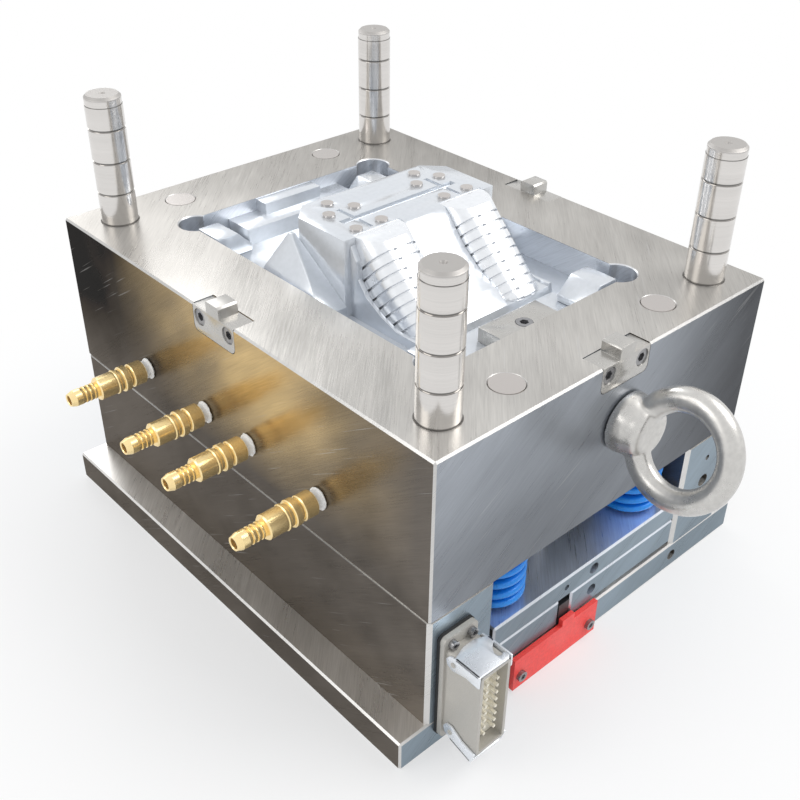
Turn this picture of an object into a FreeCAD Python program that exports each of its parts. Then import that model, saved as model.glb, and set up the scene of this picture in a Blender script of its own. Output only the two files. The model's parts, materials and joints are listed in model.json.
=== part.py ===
import FreeCAD, Part
import math
import os
import Sketcher

# Ejector half of a two-plate injection mould, standing on its clamping plate.
# Millimetres. +Z is the opening direction, -Y the face with the lifting eye, -X the coolant face.
# The origin is the centre of the clamping plate's underside, on the axis of the mould.

SIZES = {
    # Mould base
    "mould_width": 350,
    "mould_length": 450,
    "base_width": 400,
    "base_thickness": 27,
    "spacer_width": 63,
    "spacer_height": 100,
    "core_plate_thickness": 134,
    "edge_chamfer": 1.5,
    "corner_chamfer": 3,
    "fit_clearance": 0.05,
    "running_clearance": 0.05,
    "bolt_clearance": 0.25,
    "rod_hole_diameter": 40,
    "rod_thread_diameter": 17.5,
    "lifting_thread_diameter": 20.75,
    "lifting_thread_depth": 38,
    "end_hole_diameter": 10,
    "end_hole_depth": 22,
    "overrun": 1,
    "end_hole_x": 4,
    "small_hole_diameter": 5,
    "small_hole_depth": 14,
    "base_end_hole_x": 116,
    "spacer_end_hole_rise": 54,
    "spacer_small_hole_rise": 78,
    "spacer_end_hole_diameter": 12,
    # Base bolts
    "bolt_diameter": 16,
    "bolt_head_diameter": 24,
    "bolt_head_height": 16,
    "head_recess": 1,
    "socket_width_share": 0.55,
    "socket_depth_share": 0.5,
    "bolt_end_inset": 85,
    "bolt_reach": 26,
    # Guide pillars
    "pillar_side_inset": 34,
    "pillar_end_inset": 33,
    "pillar_diameter": 30,
    "pillar_rise": 107,
    "pillar_head_diameter": 36,
    "pillar_head_height": 8,
    "pillar_nose": 8,
    "pillar_nose_step": 0.4,
    "pillar_tip_chamfer": 2,
    "oil_groove_pitch": 26.8,
    "oil_groove_width": 2,
    "oil_groove_depth": 0.9,
    "centre_drill_diameter": 5,
    "centre_drill_depth": 4,
    "hole_mouth_chamfer": 1,
    # Cavity pocket in the core plate
    "pocket_width": 208,
    "pocket_length": 306,
    "pocket_depth": 101,
    "relief_diameter": 30,
    "relief_inset_x": 7,
    "relief_inset_y": 9,
    # Ejector set
    "rest_button_height": 5,
    "rest_button_diameter": 24,
    "rest_button_x": 88,
    "rest_button_end_inset": 75,
    "ejector_plate_thickness": 25,
    "retainer_plate_thickness": 20,
    "plate_side_gap": 3,
    "plate_end_gap": 0.5,
    "return_pin_diameter": 25,
    "return_pin_x": 81,
    "return_pin_y": 194,
    "pin_head_growth": 7,
    "pin_head_height": 8,
    "ejector_pin_diameter": 10,
    "ejector_pin_proud": 1.5,
    "inner_pin_x": 33,
    "outer_pin_x": 58,
    "pin_row_y": 16,
    "back_pin_x": 46,
    "back_pin_y": 33,
    "spring_outer": 50,
    "spring_wire_width": 10.5,
    "spring_wire_height": 5.5,
    "spring_pitch": 10,
    "spring_coil_gap": 0.11,
    "spring_facets": 14,
    "spring_pocket_depth": 45,
    "spring_pocket_gap": 1,
    "spring_end_gap": 0.3,
    "support_diameter": 40,
    "support_x": 55,
    "support_end_inset": 115,
    "support_clearance": 1,
    "guide_pin_diameter": 20,
    "guide_pin_end_inset": 60,
    "guide_pin_seat": 15,
    "bush_wall": 5,
    "bush_flange_growth": 3,
    "bush_flange_height": 6,
    "plate_screw_diameter": 10,
    "plate_screw_head_diameter": 16,
    "plate_screw_head_height": 10,
    "plate_screw_x": 95,
    "plate_screw_end_inset": 105,
    "plate_screw_reach": 14,
    # Core insert in the pocket
    "core_floor_drop": 25,
    "core_rise": 39,
    "plateau_half_width": 78,
    "plateau_front": 26,
    "plateau_back": 44,
    "plateau_corner": 16,
    "ramp_half_width": 72,
    "ledge_heel_gap": 3,
    "ledge_depth": 30,
    "ledge_rise": 14,
    "ledge_step_x": 30,
    "ledge_step_depth": 14,
    "ledge_step_rise": 10,
    "ramp_top_y": 26,
    "ramp_top_drop": 18,
    "ramp_lip_drop": 6,
    "ramp_lip_run": 7,
    "ramp_wall_drop": 32.4,
    "ramp_wall_run": 8,
    "ramp_step_rise": 19.8,
    "ramp_step_run": 18,
    "ramp_sill_rise": 5.5,
    "ramp_sill_run": 12,
    "ramp_sill_end_run": 14,
    "ramp_knee_y": 60,
    "ramp_knee_rise": 11,
    "ramp_foot_y": 88,
    "saddle_run_1": 4,
    "saddle_drop_1": 1.5,
    "saddle_run_2": 9,
    "saddle_drop_2": 6,
    "saddle_run_3": 17,
    "saddle_drop_3": 15.5,
    "saddle_run_4": 28,
    "saddle_drop_4": 27,
    "saddle_run_5": 42,
    "saddle_drop_5": 38,
    "saddle_run_6": 60,
    "saddle_drop_6": 48,
    "runner_width": 6,
    "runner_depth": 3,
    "runner_length": 118,
    "branch_width": 4,
    "branch_length": 40,
    "branch_depth": 1.8,
    "branch_x": 46,
    "lobe_x": 44,
    "lobe_width": 46,
    "lobe_corner": 16,
    "lobe_toe_radius": 18,
    "lobe_overlap": 4,
    "lobe_toe_run": 13,
    "lobe_seat_depth": 20,
    "lobe_top_drop": 0.5,
    "lobe_core_drop": 0.5,
    "lobe_slope": 45.5,
    "lobe_top_y": 45,
    "lobe_length": 76,
    "lobe_run_in": 34,
    "rib_count": 9,
    "rib_pitch": 8,
    "rib_start": 7,
    "rib_slot_width": 1.6,
    "rib_slot_depth": 2.4,
    "crest_strip_width": 8,
    "rim_width": 3,
    "rim_height": 2,
    "saddle_overlap": 1,
    "insert_screw_diameter": 12,
    "insert_screw_head_diameter": 18,
    "insert_screw_head_height": 12,
    "insert_screw_x": 75,
    "insert_screw_y": 125,
    "insert_screw_reach": 20,
    # Loose blocks beside the core
    "heel_width": 34,
    "heel_length": 30,
    "heel_rise": 20,
    "heel_slope_width": 14,
    "side_core_front": 28,
    "side_core_back": 50,
    "side_core_rise": 50,
    "side_core_foot_rise": 10,
    "side_core_ridge": 4,
    "side_core_shoulder_rise": 26,
    "side_core_shoulder_run": 16,
    "side_core_front_run": 62,
    "side_core_back_run": 14,
    "gib_width": 62,
    "gib_centre_x": 4,
    "gib_front_gap": 3,
    "gib_length": 34,
    "gib_rise": 12,
    "gib_screw_diameter": 8,
    "gib_screw_head_diameter": 13,
    "gib_screw_head_height": 8,
    "gib_screw_reach": 12,
    # Side locks
    "lock_offset": 5.5,
    "lock_width": 51,
    "lock_height": 21.5,
    "lock_depth": 18,
    "lock_drop": 0.5,
    "lock_gap": 0.4,
    "lock_corner": 5,
    "tongue_width": 16,
    "tongue_rise": 9,
    "tongue_depth": 17,
    "tongue_chamfer": 1.5,
    "lock_screw_pitch": 35.5,
    "lock_screw_drop": 8.7,
    "lock_screw_diameter": 8,
    "lock_screw_head_diameter": 13,
    "lock_screw_head_height": 8,
    "lock_screw_seat": 9,
    "lock_screw_reach": 12,
    # Coolant couplings
    "coolant_rise": 39,
    "coolant_inner_y": 28.5,
    "coolant_outer_y": 112,
    "channel_diameter": 10,
    "channel_depth": 50,
    "nipple_diameter": 13,
    "nipple_depth": 14,
    "nipple_stub": 6.5,
    "tape_thickness": 1.4,
    "tape_gap": 0.2,
    "sleeve_outer": 19.6,
    "sleeve_length": 11.5,
    "sleeve_gap": 0.3,
    "sleeve_chamfer": 0.8,
    "collar_gap": 2.4,
    "collar_outer": 21,
    "collar_length": 6,
    "collar_chamfer": 0.7,
    "waist_outer": 17.5,
    "waist_length": 3.2,
    "second_collar_outer": 20.2,
    "second_collar_length": 3,
    "body_neck_outer": 16.4,
    "body_outer": 19,
    "body_length": 15.3,
    "body_chamfer": 1,
    "barb_outer": 13.4,
    "barb_root": 12,
    "barb_pitch": 3.8,
    "barb_land": 0.8,
    "barb_count": 3,
    "barb_tail": 12.7,
    "barb_nose_length": 4.5,
    "barb_nose_outer": 10.4,
    "hose_bore_lip": 0.6,
    "hose_bore": 8,
    # Lifting eye
    "eye_x": 12.5,
    "eye_z": 205,
    "eye_collar_diameter": 48,
    "eye_collar_height": 12,
    "eye_neck_diameter": 42,
    "eye_ring_radius": 36,
    "eye_ring_thickness": 19,
    "eye_ring_distance": 50,
    "eye_twist": 17,
    "eye_thread_length": 32,
    # Electrical connector
    "connector_side_inset": 24,
    "connector_z": 63,
    "flange_width": 32,
    "flange_length": 98,
    "flange_thickness": 4,
    "flange_corner": 4,
    "gasket_thickness": 2.5,
    "gasket_growth": 1,
    "hood_width": 28,
    "hood_length": 78,
    "hood_depth": 33,
    "hood_wall": 2.5,
    "hood_corner": 3,
    "contact_recess": 9,
    "contact_block_depth": 16,
    "contact_gap": 0.3,
    "contact_pitch": 7,
    "contact_row_gap": 10,
    "contact_count": 8,
    "contact_pin_diameter": 2.6,
    "contact_pin_seat": 8,
    "contact_pin_proud": 7,
    "flange_screw_pitch": 18,
    "flange_screw_inset": 6,
    "flange_screw_diameter": 4,
    "flange_screw_head_diameter": 7,
    "flange_screw_head_height": 4,
    "flange_screw_reach": 10,
    "lever_thickness": 1.6,
    "lever_gap": 0.4,
    "lever_stud_proud": 0.6,
    "lever_ear": 13,
    "lever_eye_diameter": 12,
    "lever_length": 24,
    "lever_plate_start": 3.5,
    "lever_pivot_diameter": 4,
    "lever_pivot_ahead": 9,
    "lever_pivot_inset": 5,
    "lower_lever_angle": 16,
    # Limit switch and its cover strip
    "cover_left": 87.5,
    "cover_right": 9,
    "cover_height": 32,
    "cover_thickness": 4,
    "cover_tab_left": 34,
    "cover_tab_right": 20,
    "cover_tab_rise": 6,
    "cover_screw_left": 80,
    "cover_screw_right": 0,
    "cover_screw_z": 12.5,
    "cover_screw_diameter": 5,
    "cover_screw_head_diameter": 9,
    "cover_screw_head_height": 3,
    "cover_screw_reach": 10,
    "switch_slot_left": 35.5,
    "switch_slot_right": 21.5,
    "switch_slot_length": 26,
    "switch_gap": 1,
    "switch_height": 24,
    "plunger_diameter": 4,
    "plunger_gap": 0.3,
    "plunger_seat": 4,
}

doc = FreeCAD.newDocument("Mould")
sheet = doc.addObject("Spreadsheet::Sheet", "Sizes")
for row, (word, number) in enumerate(SIZES.items(), start=1):
    sheet.set(f"A{row}", word.replace("_", " "))
    sheet.set(f"B{row}", str(number))
    sheet.setAlias(f"B{row}", word)
doc.recompute()


class Size:
    """A length that knows its present number and the sheet formula that gives it."""

    def __init__(self, number, formula):
        self.number = number
        self.formula = formula

    def joined(self, other, sign, number):
        formula = other.formula if isinstance(other, Size) else repr(other)
        return Size(number, f"({self.formula} {sign} {formula})")

    def __add__(self, other):
        return self.joined(other, "+", self.number + float(other))

    def __sub__(self, other):
        return self.joined(other, "-", self.number - float(other))

    def __mul__(self, other):
        return self.joined(other, "*", self.number * float(other))

    def __truediv__(self, other):
        return self.joined(other, "/", self.number / float(other))

    def __neg__(self):
        return self * -1

    def __radd__(self, other):
        return self + other

    def __rmul__(self, other):
        return self * other

    def __rsub__(self, other):
        return -self + other

    def __float__(self):
        return float(self.number)


class Sheet:
    """The cells of the sheet, each read by its word."""

    def __getattr__(self, word):
        return Size(float(sheet.get(word)), f"Sizes.{word}")


d = Sheet()
ZERO = d.mould_width * 0


def sine(angle):
    return Size(math.sin(math.radians(float(angle))), f"sin({angle.formula} * 1 deg)")


def cosine(angle):
    return Size(math.cos(math.radians(float(angle))), f"cos({angle.formula} * 1 deg)")


def bind(thing, **values):
    """Tie properties to the sheet. A double underscore stands for the dot in a property's name."""
    for name, value in values.items():
        if isinstance(value, Size):
            thing.setExpression(name.replace("__", "."), value.formula)
        else:
            setattr(thing, name, value)
    return thing


def place(thing, x=ZERO, y=ZERO, z=ZERO):
    bind(thing, Placement__Base__x=x, Placement__Base__y=y, Placement__Base__z=z)
    return thing


# Directions as turns of a solid that is drawn along +Z
TURNS = {
    "+Z": FreeCAD.Rotation(),
    "-Z": FreeCAD.Rotation(FreeCAD.Vector(1, 0, 0), 180),
    "+Y": FreeCAD.Rotation(FreeCAD.Vector(1, 0, 0), -90),
    "-Y": FreeCAD.Rotation(FreeCAD.Vector(1, 0, 0), 90),
    "+X": FreeCAD.Rotation(FreeCAD.Vector(0, 1, 0), 90),
    "-X": FreeCAD.Rotation(FreeCAD.Vector(0, 1, 0), -90),
}


def turn(thing, direction):
    thing.Placement = FreeCAD.Placement(FreeCAD.Vector(), TURNS[direction])
    return thing


def block(low, high, name="Block"):
    """A box between two corners."""
    thing = doc.addObject("Part::Box", name)
    place(thing, *low)
    return bind(thing, Length=high[0] - low[0], Width=high[1] - low[1], Height=high[2] - low[2])


def rod(diameter, length, start, direction="+Z", name="Rod"):
    """A cylinder that starts at a point and runs one way."""
    thing = turn(doc.addObject("Part::Cylinder", name), direction)
    bind(thing, Radius=diameter / 2, Height=length)
    return place(thing, *start)


def cone(diameter, end_diameter, length, start, direction="+Z", name="Cone"):
    thing = turn(doc.addObject("Part::Cone", name), direction)
    bind(thing, Radius1=diameter / 2, Radius2=end_diameter / 2, Height=length)
    return place(thing, *start)


def hexagon(across, length, start, direction="+Z", name="Hexagon"):
    """A six-sided bar, measured over its corners."""
    thing = turn(doc.addObject("Part::Prism", name), direction)
    thing.Polygon = 6
    bind(thing, Circumradius=across / 2, Height=length)
    return place(thing, *start)


def fused(parts, name="Fused"):
    thing = doc.addObject("Part::MultiFuse", name)
    thing.Shapes = parts
    return thing


def cut(base, tools, name="Cut"):
    """The base less its tools."""
    thing = doc.addObject("Part::Cut", name)
    thing.Base = base
    thing.Tool = tools[0] if len(tools) == 1 else fused(tools, f"{name}Tools")
    return thing


def common(base, tool, name="Common"):
    thing = doc.addObject("Part::Common", name)
    thing.Base = base
    thing.Tool = tool
    return thing


def group(parts, name="Group"):
    """Separate solids that share one node."""
    thing = doc.addObject("Part::Compound", name)
    thing.Links = parts
    return thing


NODES = {}


def node(label, thing):
    """Keep a finished sub-part under the name of its file."""
    thing.Label = label
    NODES[label] = thing
    return thing


def copied(source, name):
    """A second piece like the first, free to be placed elsewhere."""
    thing = doc.addObject("Part::Feature", name)
    thing.Shape = source.Shape
    return thing


# Sketches and features of the bodies

def new_body(name):
    return doc.addObject("PartDesign::Body", name)


def origin_plane(body, role):
    return next(item for item in body.Origin.OriginFeatures if item.Role == role)


def sketch(body, role="XY_Plane", offset=ZERO):
    """A sketch on one of the body's own planes, moved along the plane's normal."""
    drawing = body.newObject("Sketcher::SketchObject", f"{body.Name}Sketch")
    drawing.AttachmentSupport = [(origin_plane(body, role), "")]
    drawing.MapMode = "FlatFace"
    drawing.setExpression("AttachmentOffset.Base.z", offset.formula)
    return drawing


def tie(drawing, kind, value, *where):
    index = drawing.addConstraint(Sketcher.Constraint(kind, *where, float(value)))
    drawing.setExpression(f"Constraints[{index}]", value.formula)


def outline(drawing, corners):
    """A closed straight-sided outline whose corners are bound to the sheet."""
    first = drawing.GeometryCount
    vectors = [FreeCAD.Vector(float(x), float(y), 0) for x, y in corners]
    for start, end in zip(vectors, vectors[1:] + vectors[:1]):
        drawing.addGeometry(Part.LineSegment(start, end))
    for number in range(len(corners)):
        following = first + (number + 1) % len(corners)
        drawing.addConstraint(Sketcher.Constraint("Coincident", first + number, 2, following, 1))
    for number, (x, y) in enumerate(corners):
        tie(drawing, "DistanceX", x, -1, 1, first + number, 1)
        tie(drawing, "DistanceY", y, -1, 1, first + number, 1)


def rectangle(drawing, x0, y0, x1, y1):
    outline(drawing, [(x0, y0), (x1, y0), (x1, y1), (x0, y1)])


def circles(drawing, centres, diameter):
    for x, y in centres:
        centre = FreeCAD.Vector(float(x), float(y), 0)
        index = drawing.addGeometry(
            Part.Circle(centre, FreeCAD.Vector(0, 0, 1), float(diameter) / 2)
        )
        tie(drawing, "DistanceX", x, -1, 1, index, 3)
        tie(drawing, "DistanceY", y, -1, 1, index, 3)
        tie(drawing, "Diameter", diameter, index)


def feature(body, kind, profile, **values):
    thing = body.newObject(f"PartDesign::{kind}", f"{body.Name}{kind}")
    thing.Profile = profile
    bind(thing, **values)
    profile.Visibility = False
    return thing


def plate(name, x0, y0, x1, y1, bottom, thickness):
    """A body that starts as a rectangular plate."""
    body = new_body(name)
    drawing = sketch(body, offset=bottom)
    rectangle(drawing, x0, y0, x1, y1)
    feature(body, "Pad", drawing, Length=thickness)
    return body


def bored(body, centres, diameter, start, depth, downwards=False):
    """Round holes from one level of the body, upwards or downwards."""
    drawing = sketch(body, offset=start)
    circles(drawing, centres, diameter)
    return feature(body, "Pocket", drawing, Length=depth, Reversed=not downwards)


def sunk(body, x0, y0, x1, y1, start, depth, downwards=True):
    """A rectangular pocket from one level of the body."""
    drawing = sketch(body, offset=start)
    rectangle(drawing, x0, y0, x1, y1)
    return feature(body, "Pocket", drawing, Length=depth, Reversed=not downwards)


def bevelled(body, size, chosen):
    """A chamfer on the edges that the given test picks from the body's present tip."""
    doc.recompute()
    tip = body.Tip
    names = [f"Edge{n}" for n, edge in enumerate(tip.Shape.Edges, start=1) if chosen(edge)]
    thing = body.newObject("PartDesign::Chamfer", f"{body.Name}Chamfer")
    thing.Base = (tip, names)
    return bind(thing, Size=size)


def rounded(body, radius, chosen):
    doc.recompute()
    tip = body.Tip
    names = [f"Edge{n}" for n, edge in enumerate(tip.Shape.Edges, start=1) if chosen(edge)]
    thing = body.newObject("PartDesign::Fillet", f"{body.Name}Fillet")
    thing.Base = (tip, names)
    return bind(thing, Radius=radius)


def turned(name, profile):
    """A turned body: half a section, drawn as radius and height, spun about the Z axis."""
    body = new_body(name)
    drawing = sketch(body, "XZ_Plane")
    outline(drawing, profile)
    thing = feature(body, "Revolution", drawing, Angle=360)
    thing.ReferenceAxis = (drawing, ["V_Axis"])
    return body


# Tests that pick edges by their place

NEAR = 0.01


def is_straight(edge):
    return edge.Curve.TypeId == "Part::GeomLine"


def is_upright(edge):
    box = edge.BoundBox
    return is_straight(edge) and box.ZLength > NEAR > max(box.XLength, box.YLength)


def lies_at(edge, level):
    box = edge.BoundBox
    return abs(box.ZMin - float(level)) < NEAR and abs(box.ZMax - float(level)) < NEAR


def on_outside(edge, half_width, half_length):
    """Is the edge on the outer rectangle of a plate that is centred on the axis?"""
    box = edge.BoundBox
    across = max(abs(box.XMin), abs(box.XMax)) > float(half_width) - NEAR and box.XLength < NEAR
    along = max(abs(box.YMin), abs(box.YMax)) > float(half_length) - NEAR and box.YLength < NEAR
    return is_straight(edge) and (across or along)


# Levels that the pieces share
half_width = d.mould_width / 2
half_length = d.mould_length / 2
spacer_bottom = d.base_thickness
core_bottom = spacer_bottom + d.spacer_height
parting = core_bottom + d.core_plate_thickness
pocket_floor = parting - d.pocket_depth
core_floor = parting - d.core_floor_drop
core_top = parting + d.core_rise
ejector_bottom = spacer_bottom + d.rest_button_height
retainer_bottom = ejector_bottom + d.ejector_plate_thickness
retainer_top = retainer_bottom + d.retainer_plate_thickness
coolant_level = core_bottom + d.coolant_rise
spring_top = core_bottom + d.spring_pocket_depth

ALL_SIDES = [(1, 1), (-1, 1), (-1, -1), (1, -1)]
SADDLE_STEPS = 6


def corners(x, y):
    """The four mirrored places of a point."""
    return [(x * i, y * j) for i, j in ALL_SIDES]


pillar_places = corners(half_width - d.pillar_side_inset, half_length - d.pillar_end_inset)
return_pin_places = corners(d.return_pin_x, d.return_pin_y)
support_places = corners(d.support_x, half_length - d.support_end_inset)
guide_pin_y = half_length - d.guide_pin_end_inset
guide_places = [(ZERO, guide_pin_y), (ZERO, -guide_pin_y)]
bolt_x = half_width - d.spacer_width / 2
bolt_y = half_length - d.bolt_end_inset
bolt_places = [(bolt_x * i, bolt_y * j) for i in (-1, 1) for j in (-1, 0, 1)]
plate_screw_y = half_length - d.plate_screw_end_inset
plate_screw_places = [
    (d.plate_screw_x * i, plate_screw_y * j) for i in (-1, 1) for j in (-1, 0, 1)
]
insert_screw_places = corners(d.insert_screw_x, d.insert_screw_y)
ejector_pin_places = (
    corners(d.inner_pin_x, d.pin_row_y)
    + corners(d.outer_pin_x, d.pin_row_y)
    + [(d.back_pin_x, d.back_pin_y), (-d.back_pin_x, d.back_pin_y)]
)
connector_x = -half_width + d.connector_side_inset
coolant_places = [-d.coolant_outer_y, -d.coolant_inner_y, d.coolant_inner_y, d.coolant_outer_y]

# Clamping plate
base = plate("BasePlate", -d.base_width / 2, -half_length, d.base_width / 2, half_length,
             ZERO, d.base_thickness)
bored(base, [(ZERO, ZERO)], d.rod_hole_diameter, ZERO, d.base_thickness)
bored(base, bolt_places, d.bolt_diameter + 2 * d.bolt_clearance, ZERO, d.base_thickness)
bored(base, bolt_places, d.bolt_head_diameter + 2 * d.bolt_clearance,
      ZERO, d.bolt_head_height + d.head_recess)
bored(base, guide_places, d.guide_pin_diameter, ZERO, d.base_thickness)
bored(base, guide_places, d.guide_pin_diameter + d.pin_head_growth, ZERO, d.pin_head_height)
bevelled(base, d.edge_chamfer, lambda e: on_outside(e, d.base_width / 2, half_length))
base_end_hole = rod(
    d.end_hole_diameter, d.end_hole_depth,
    (d.base_end_hole_x, -half_length, d.base_thickness / 2), "+Y",
)
cover_screw_places = [-d.cover_screw_left, d.cover_screw_right]
cover_threads = [
    rod(d.cover_screw_diameter + 2 * d.bolt_clearance, d.cover_screw_reach + d.overrun,
        (x, -half_length, d.cover_screw_z), "+Y")
    for x in cover_screw_places
]
flange_screw_z = [
    d.connector_z + (d.flange_length / 2 - d.flange_screw_inset) * side for side in (1, -1)
]
flange_screw_x = [connector_x + d.flange_screw_pitch / 2 * side for side in (1, -1)]
flange_threads = [
    rod(d.flange_screw_diameter + 2 * d.bolt_clearance, d.flange_screw_reach,
        (x, -half_length, z), "+Y")
    for z in flange_screw_z for x in flange_screw_x
]
node("base_plate", cut(
    base, [base_end_hole] + cover_threads + flange_threads[2:], "BasePlateCut",
))

# Spacer blocks
for side, side_name in ((-1, "left"), (1, "right")):
    inner = (half_width - d.spacer_width) * side
    outer = half_width * side
    low_x, high_x = (outer, inner) if side < 0 else (inner, outer)
    spacer = plate(f"Spacer{side_name.title()}", low_x, -half_length, high_x, half_length,
                   spacer_bottom, d.spacer_height)
    places = [place_ for place_ in bolt_places if float(place_[0]) * side > 0]
    bored(spacer, places, d.bolt_diameter + 2 * d.bolt_clearance, spacer_bottom, d.spacer_height)
    bevelled(spacer, d.corner_chamfer,
             lambda e: is_upright(e) and on_outside(e, half_width, half_length))
    end_holes = [
        rod(d.spacer_end_hole_diameter, d.end_hole_depth,
            (bolt_x * side, -half_length, spacer_bottom + d.spacer_end_hole_rise), "+Y"),
        rod(d.small_hole_diameter, d.small_hole_depth,
            (bolt_x * side, -half_length, spacer_bottom + d.spacer_small_hole_rise), "+Y"),
        rod(d.spacer_end_hole_diameter, d.end_hole_depth,
            (bolt_x * side, half_length, spacer_bottom + d.spacer_end_hole_rise), "-Y"),
    ]
    if side < 0:
        end_holes = flange_threads[:2] + end_holes[2:]
    node(f"spacer_{side_name}", cut(spacer, end_holes, f"Spacer{side_name.title()}Cut"))

# Core plate
core = plate("CorePlate", -half_width, -half_length, half_width, half_length,
             core_bottom, d.core_plate_thickness)
bevelled(core, d.corner_chamfer / 2, lambda e: on_outside(e, half_width, half_length))
sunk(core, -d.pocket_width / 2, -d.pocket_length / 2, d.pocket_width / 2, d.pocket_length / 2,
     parting, d.pocket_depth)
bored(core, corners(d.pocket_width / 2 - d.relief_inset_x, d.pocket_length / 2 - d.relief_inset_y),
      d.relief_diameter, parting, d.pocket_depth, downwards=True)
bored(core, pillar_places, d.pillar_diameter, core_bottom, d.core_plate_thickness)
bored(core, pillar_places, d.pillar_head_diameter, core_bottom, d.pillar_head_height)
bored(core, return_pin_places, d.return_pin_diameter + 2 * d.running_clearance,
      core_bottom, d.core_plate_thickness)
bored(core, return_pin_places, d.spring_outer + 2 * d.spring_pocket_gap, core_bottom, d.spring_pocket_depth)
bored(core, bolt_places, d.bolt_diameter + 2 * d.bolt_clearance, core_bottom, d.bolt_reach + d.overrun)
bored(core, guide_places, d.guide_pin_diameter + 2 * d.running_clearance,
      core_bottom, d.guide_pin_seat + d.overrun)
bored(core, ejector_pin_places, d.ejector_pin_diameter + 2 * d.running_clearance,
      core_bottom, pocket_floor - core_bottom)
bored(core, insert_screw_places, d.insert_screw_diameter + 2 * d.bolt_clearance,
      core_bottom, pocket_floor - core_bottom)
bored(core, insert_screw_places, d.insert_screw_head_diameter + 2 * d.bolt_clearance,
      core_bottom, d.insert_screw_head_height + d.head_recess)


def is_hole_mouth(edge):
    """The rims of the pillar and return pin holes in the parting face."""
    if edge.Curve.TypeId != "Part::GeomCircle" or not lies_at(edge, parting):
        return False
    pin_hole = float(d.return_pin_diameter) / 2 + float(d.running_clearance)
    radii = (float(d.pillar_diameter) / 2, pin_hole)
    return any(abs(edge.Curve.Radius - radius) < NEAR for radius in radii)


bevelled(core, d.hole_mouth_chamfer, is_hole_mouth)

lock_bottom = parting - d.lock_height
lock_half = d.lock_width / 2 + d.lock_gap


def lock_pocket(front):
    """The pocket of a side lock, drawn on the -Y face and turned to the face that it belongs to."""
    body = new_body("LockPocket")
    drawing = sketch(body, "XZ_Plane")
    rectangle(drawing, -lock_half, lock_bottom - d.lock_gap, lock_half, parting + d.overrun)
    feature(body, "Pad", drawing, Length=d.lock_depth + d.lock_gap, Reversed=True)
    rounded(body, d.lock_corner, lambda e: is_along(e, "Y") and lies_low(e, lock_bottom))
    return front(body)


def is_along(edge, axis):
    box = edge.BoundBox
    lengths = {"X": box.XLength, "Y": box.YLength, "Z": box.ZLength}
    mine = lengths.pop(axis)
    return is_straight(edge) and mine > NEAR > max(lengths.values())


def lies_low(edge, level):
    return edge.BoundBox.ZMax < float(level) + NEAR


# A face of the mould: the turn about Z that brings the -Y face there, and how far out it lies
FACES = {
    "front": (0, d.lock_offset, -half_length),
    "left": (-90, -half_width, d.lock_offset),
    "right": (90, half_width, d.lock_offset),
}


def on_face(face):
    """A function that turns a body drawn on the XZ plane to a side face."""
    angle, x, y = FACES[face]

    def put(body):
        body.Placement = FreeCAD.Placement(
            FreeCAD.Vector(), FreeCAD.Rotation(FreeCAD.Vector(0, 0, 1), angle)
        )
        place(body, x if isinstance(x, Size) else ZERO, y, ZERO)
        return body

    return put


lock_pockets = [lock_pocket(on_face(face)) for face in FACES]

lock_screw_z = parting - d.lock_screw_drop
lock_screw_points = []
for face, (angle, x, y) in FACES.items():
    inward = {"front": "+Y", "left": "+X", "right": "-X"}[face]
    for side in (-1, 1):
        shift = d.lock_screw_pitch / 2 * side
        point = (x + shift, y, lock_screw_z) if face == "front" else (x, y + shift, lock_screw_z)
        lock_screw_points.append((point, inward))


def moved(point, direction, distance):
    """A point moved along one of the six directions."""
    sign = 1 if direction[0] == "+" else -1
    axis = "XYZ".index(direction[1])
    return tuple(p + distance * sign if n == axis else p for n, p in enumerate(point))


lock_threads = [
    rod(d.lock_screw_diameter + 2 * d.bolt_clearance, d.lock_depth + d.lock_screw_reach,
        point, inward)
    for point, inward in lock_screw_points
]
coolant_points = [(-half_width, y, coolant_level) for y in coolant_places]
coolant_threads = [rod(d.nipple_diameter, d.nipple_depth, point, "+X") for point in coolant_points]
coolant_channels = [rod(d.channel_diameter, d.channel_depth, point, "+X") for point in coolant_points]
eye_point = (d.eye_x, -half_length, d.eye_z)
lifting_threads = [
    rod(d.lifting_thread_diameter, d.lifting_thread_depth, eye_point, "+Y"),
    rod(d.lifting_thread_diameter, d.lifting_thread_depth, (d.eye_x, half_length, d.eye_z), "-Y"),
]
node("core_plate", cut(
    core, lock_pockets + lock_threads + coolant_threads + coolant_channels + lifting_threads,
    "CorePlateCut",
))

# Guide pillars: a head below, three oil grooves, a stepped nose and a centre drilling
pillar_foot = core_bottom
pillar_radius = d.pillar_diameter / 2
pillar_tip = parting + d.pillar_rise
nose_radius = pillar_radius - d.pillar_nose_step
pillar_profile = [
    (ZERO, pillar_foot),
    (d.pillar_head_diameter / 2, pillar_foot),
    (d.pillar_head_diameter / 2, pillar_foot + d.pillar_head_height),
    (pillar_radius, pillar_foot + d.pillar_head_height),
]
for number in (1, 2, 3):
    groove = parting + d.oil_groove_pitch * number
    pillar_profile += [
        (pillar_radius, groove - d.oil_groove_width / 2),
        (pillar_radius - d.oil_groove_depth, groove - d.oil_groove_width / 2),
        (pillar_radius - d.oil_groove_depth, groove + d.oil_groove_width / 2),
        (pillar_radius, groove + d.oil_groove_width / 2),
    ]
pillar_profile += [
    (pillar_radius, pillar_tip - d.pillar_nose),
    (nose_radius, pillar_tip - d.pillar_nose),
    (nose_radius, pillar_tip - d.pillar_tip_chamfer),
    (nose_radius - d.pillar_tip_chamfer, pillar_tip),
    (d.centre_drill_diameter / 2, pillar_tip),
    (ZERO, pillar_tip - d.centre_drill_depth),
]
for number, (x, y) in enumerate(pillar_places, start=1):
    node(f"guide_pillar_{number}", place(turned(f"GuidePillar{number}", pillar_profile), x, y))


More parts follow.
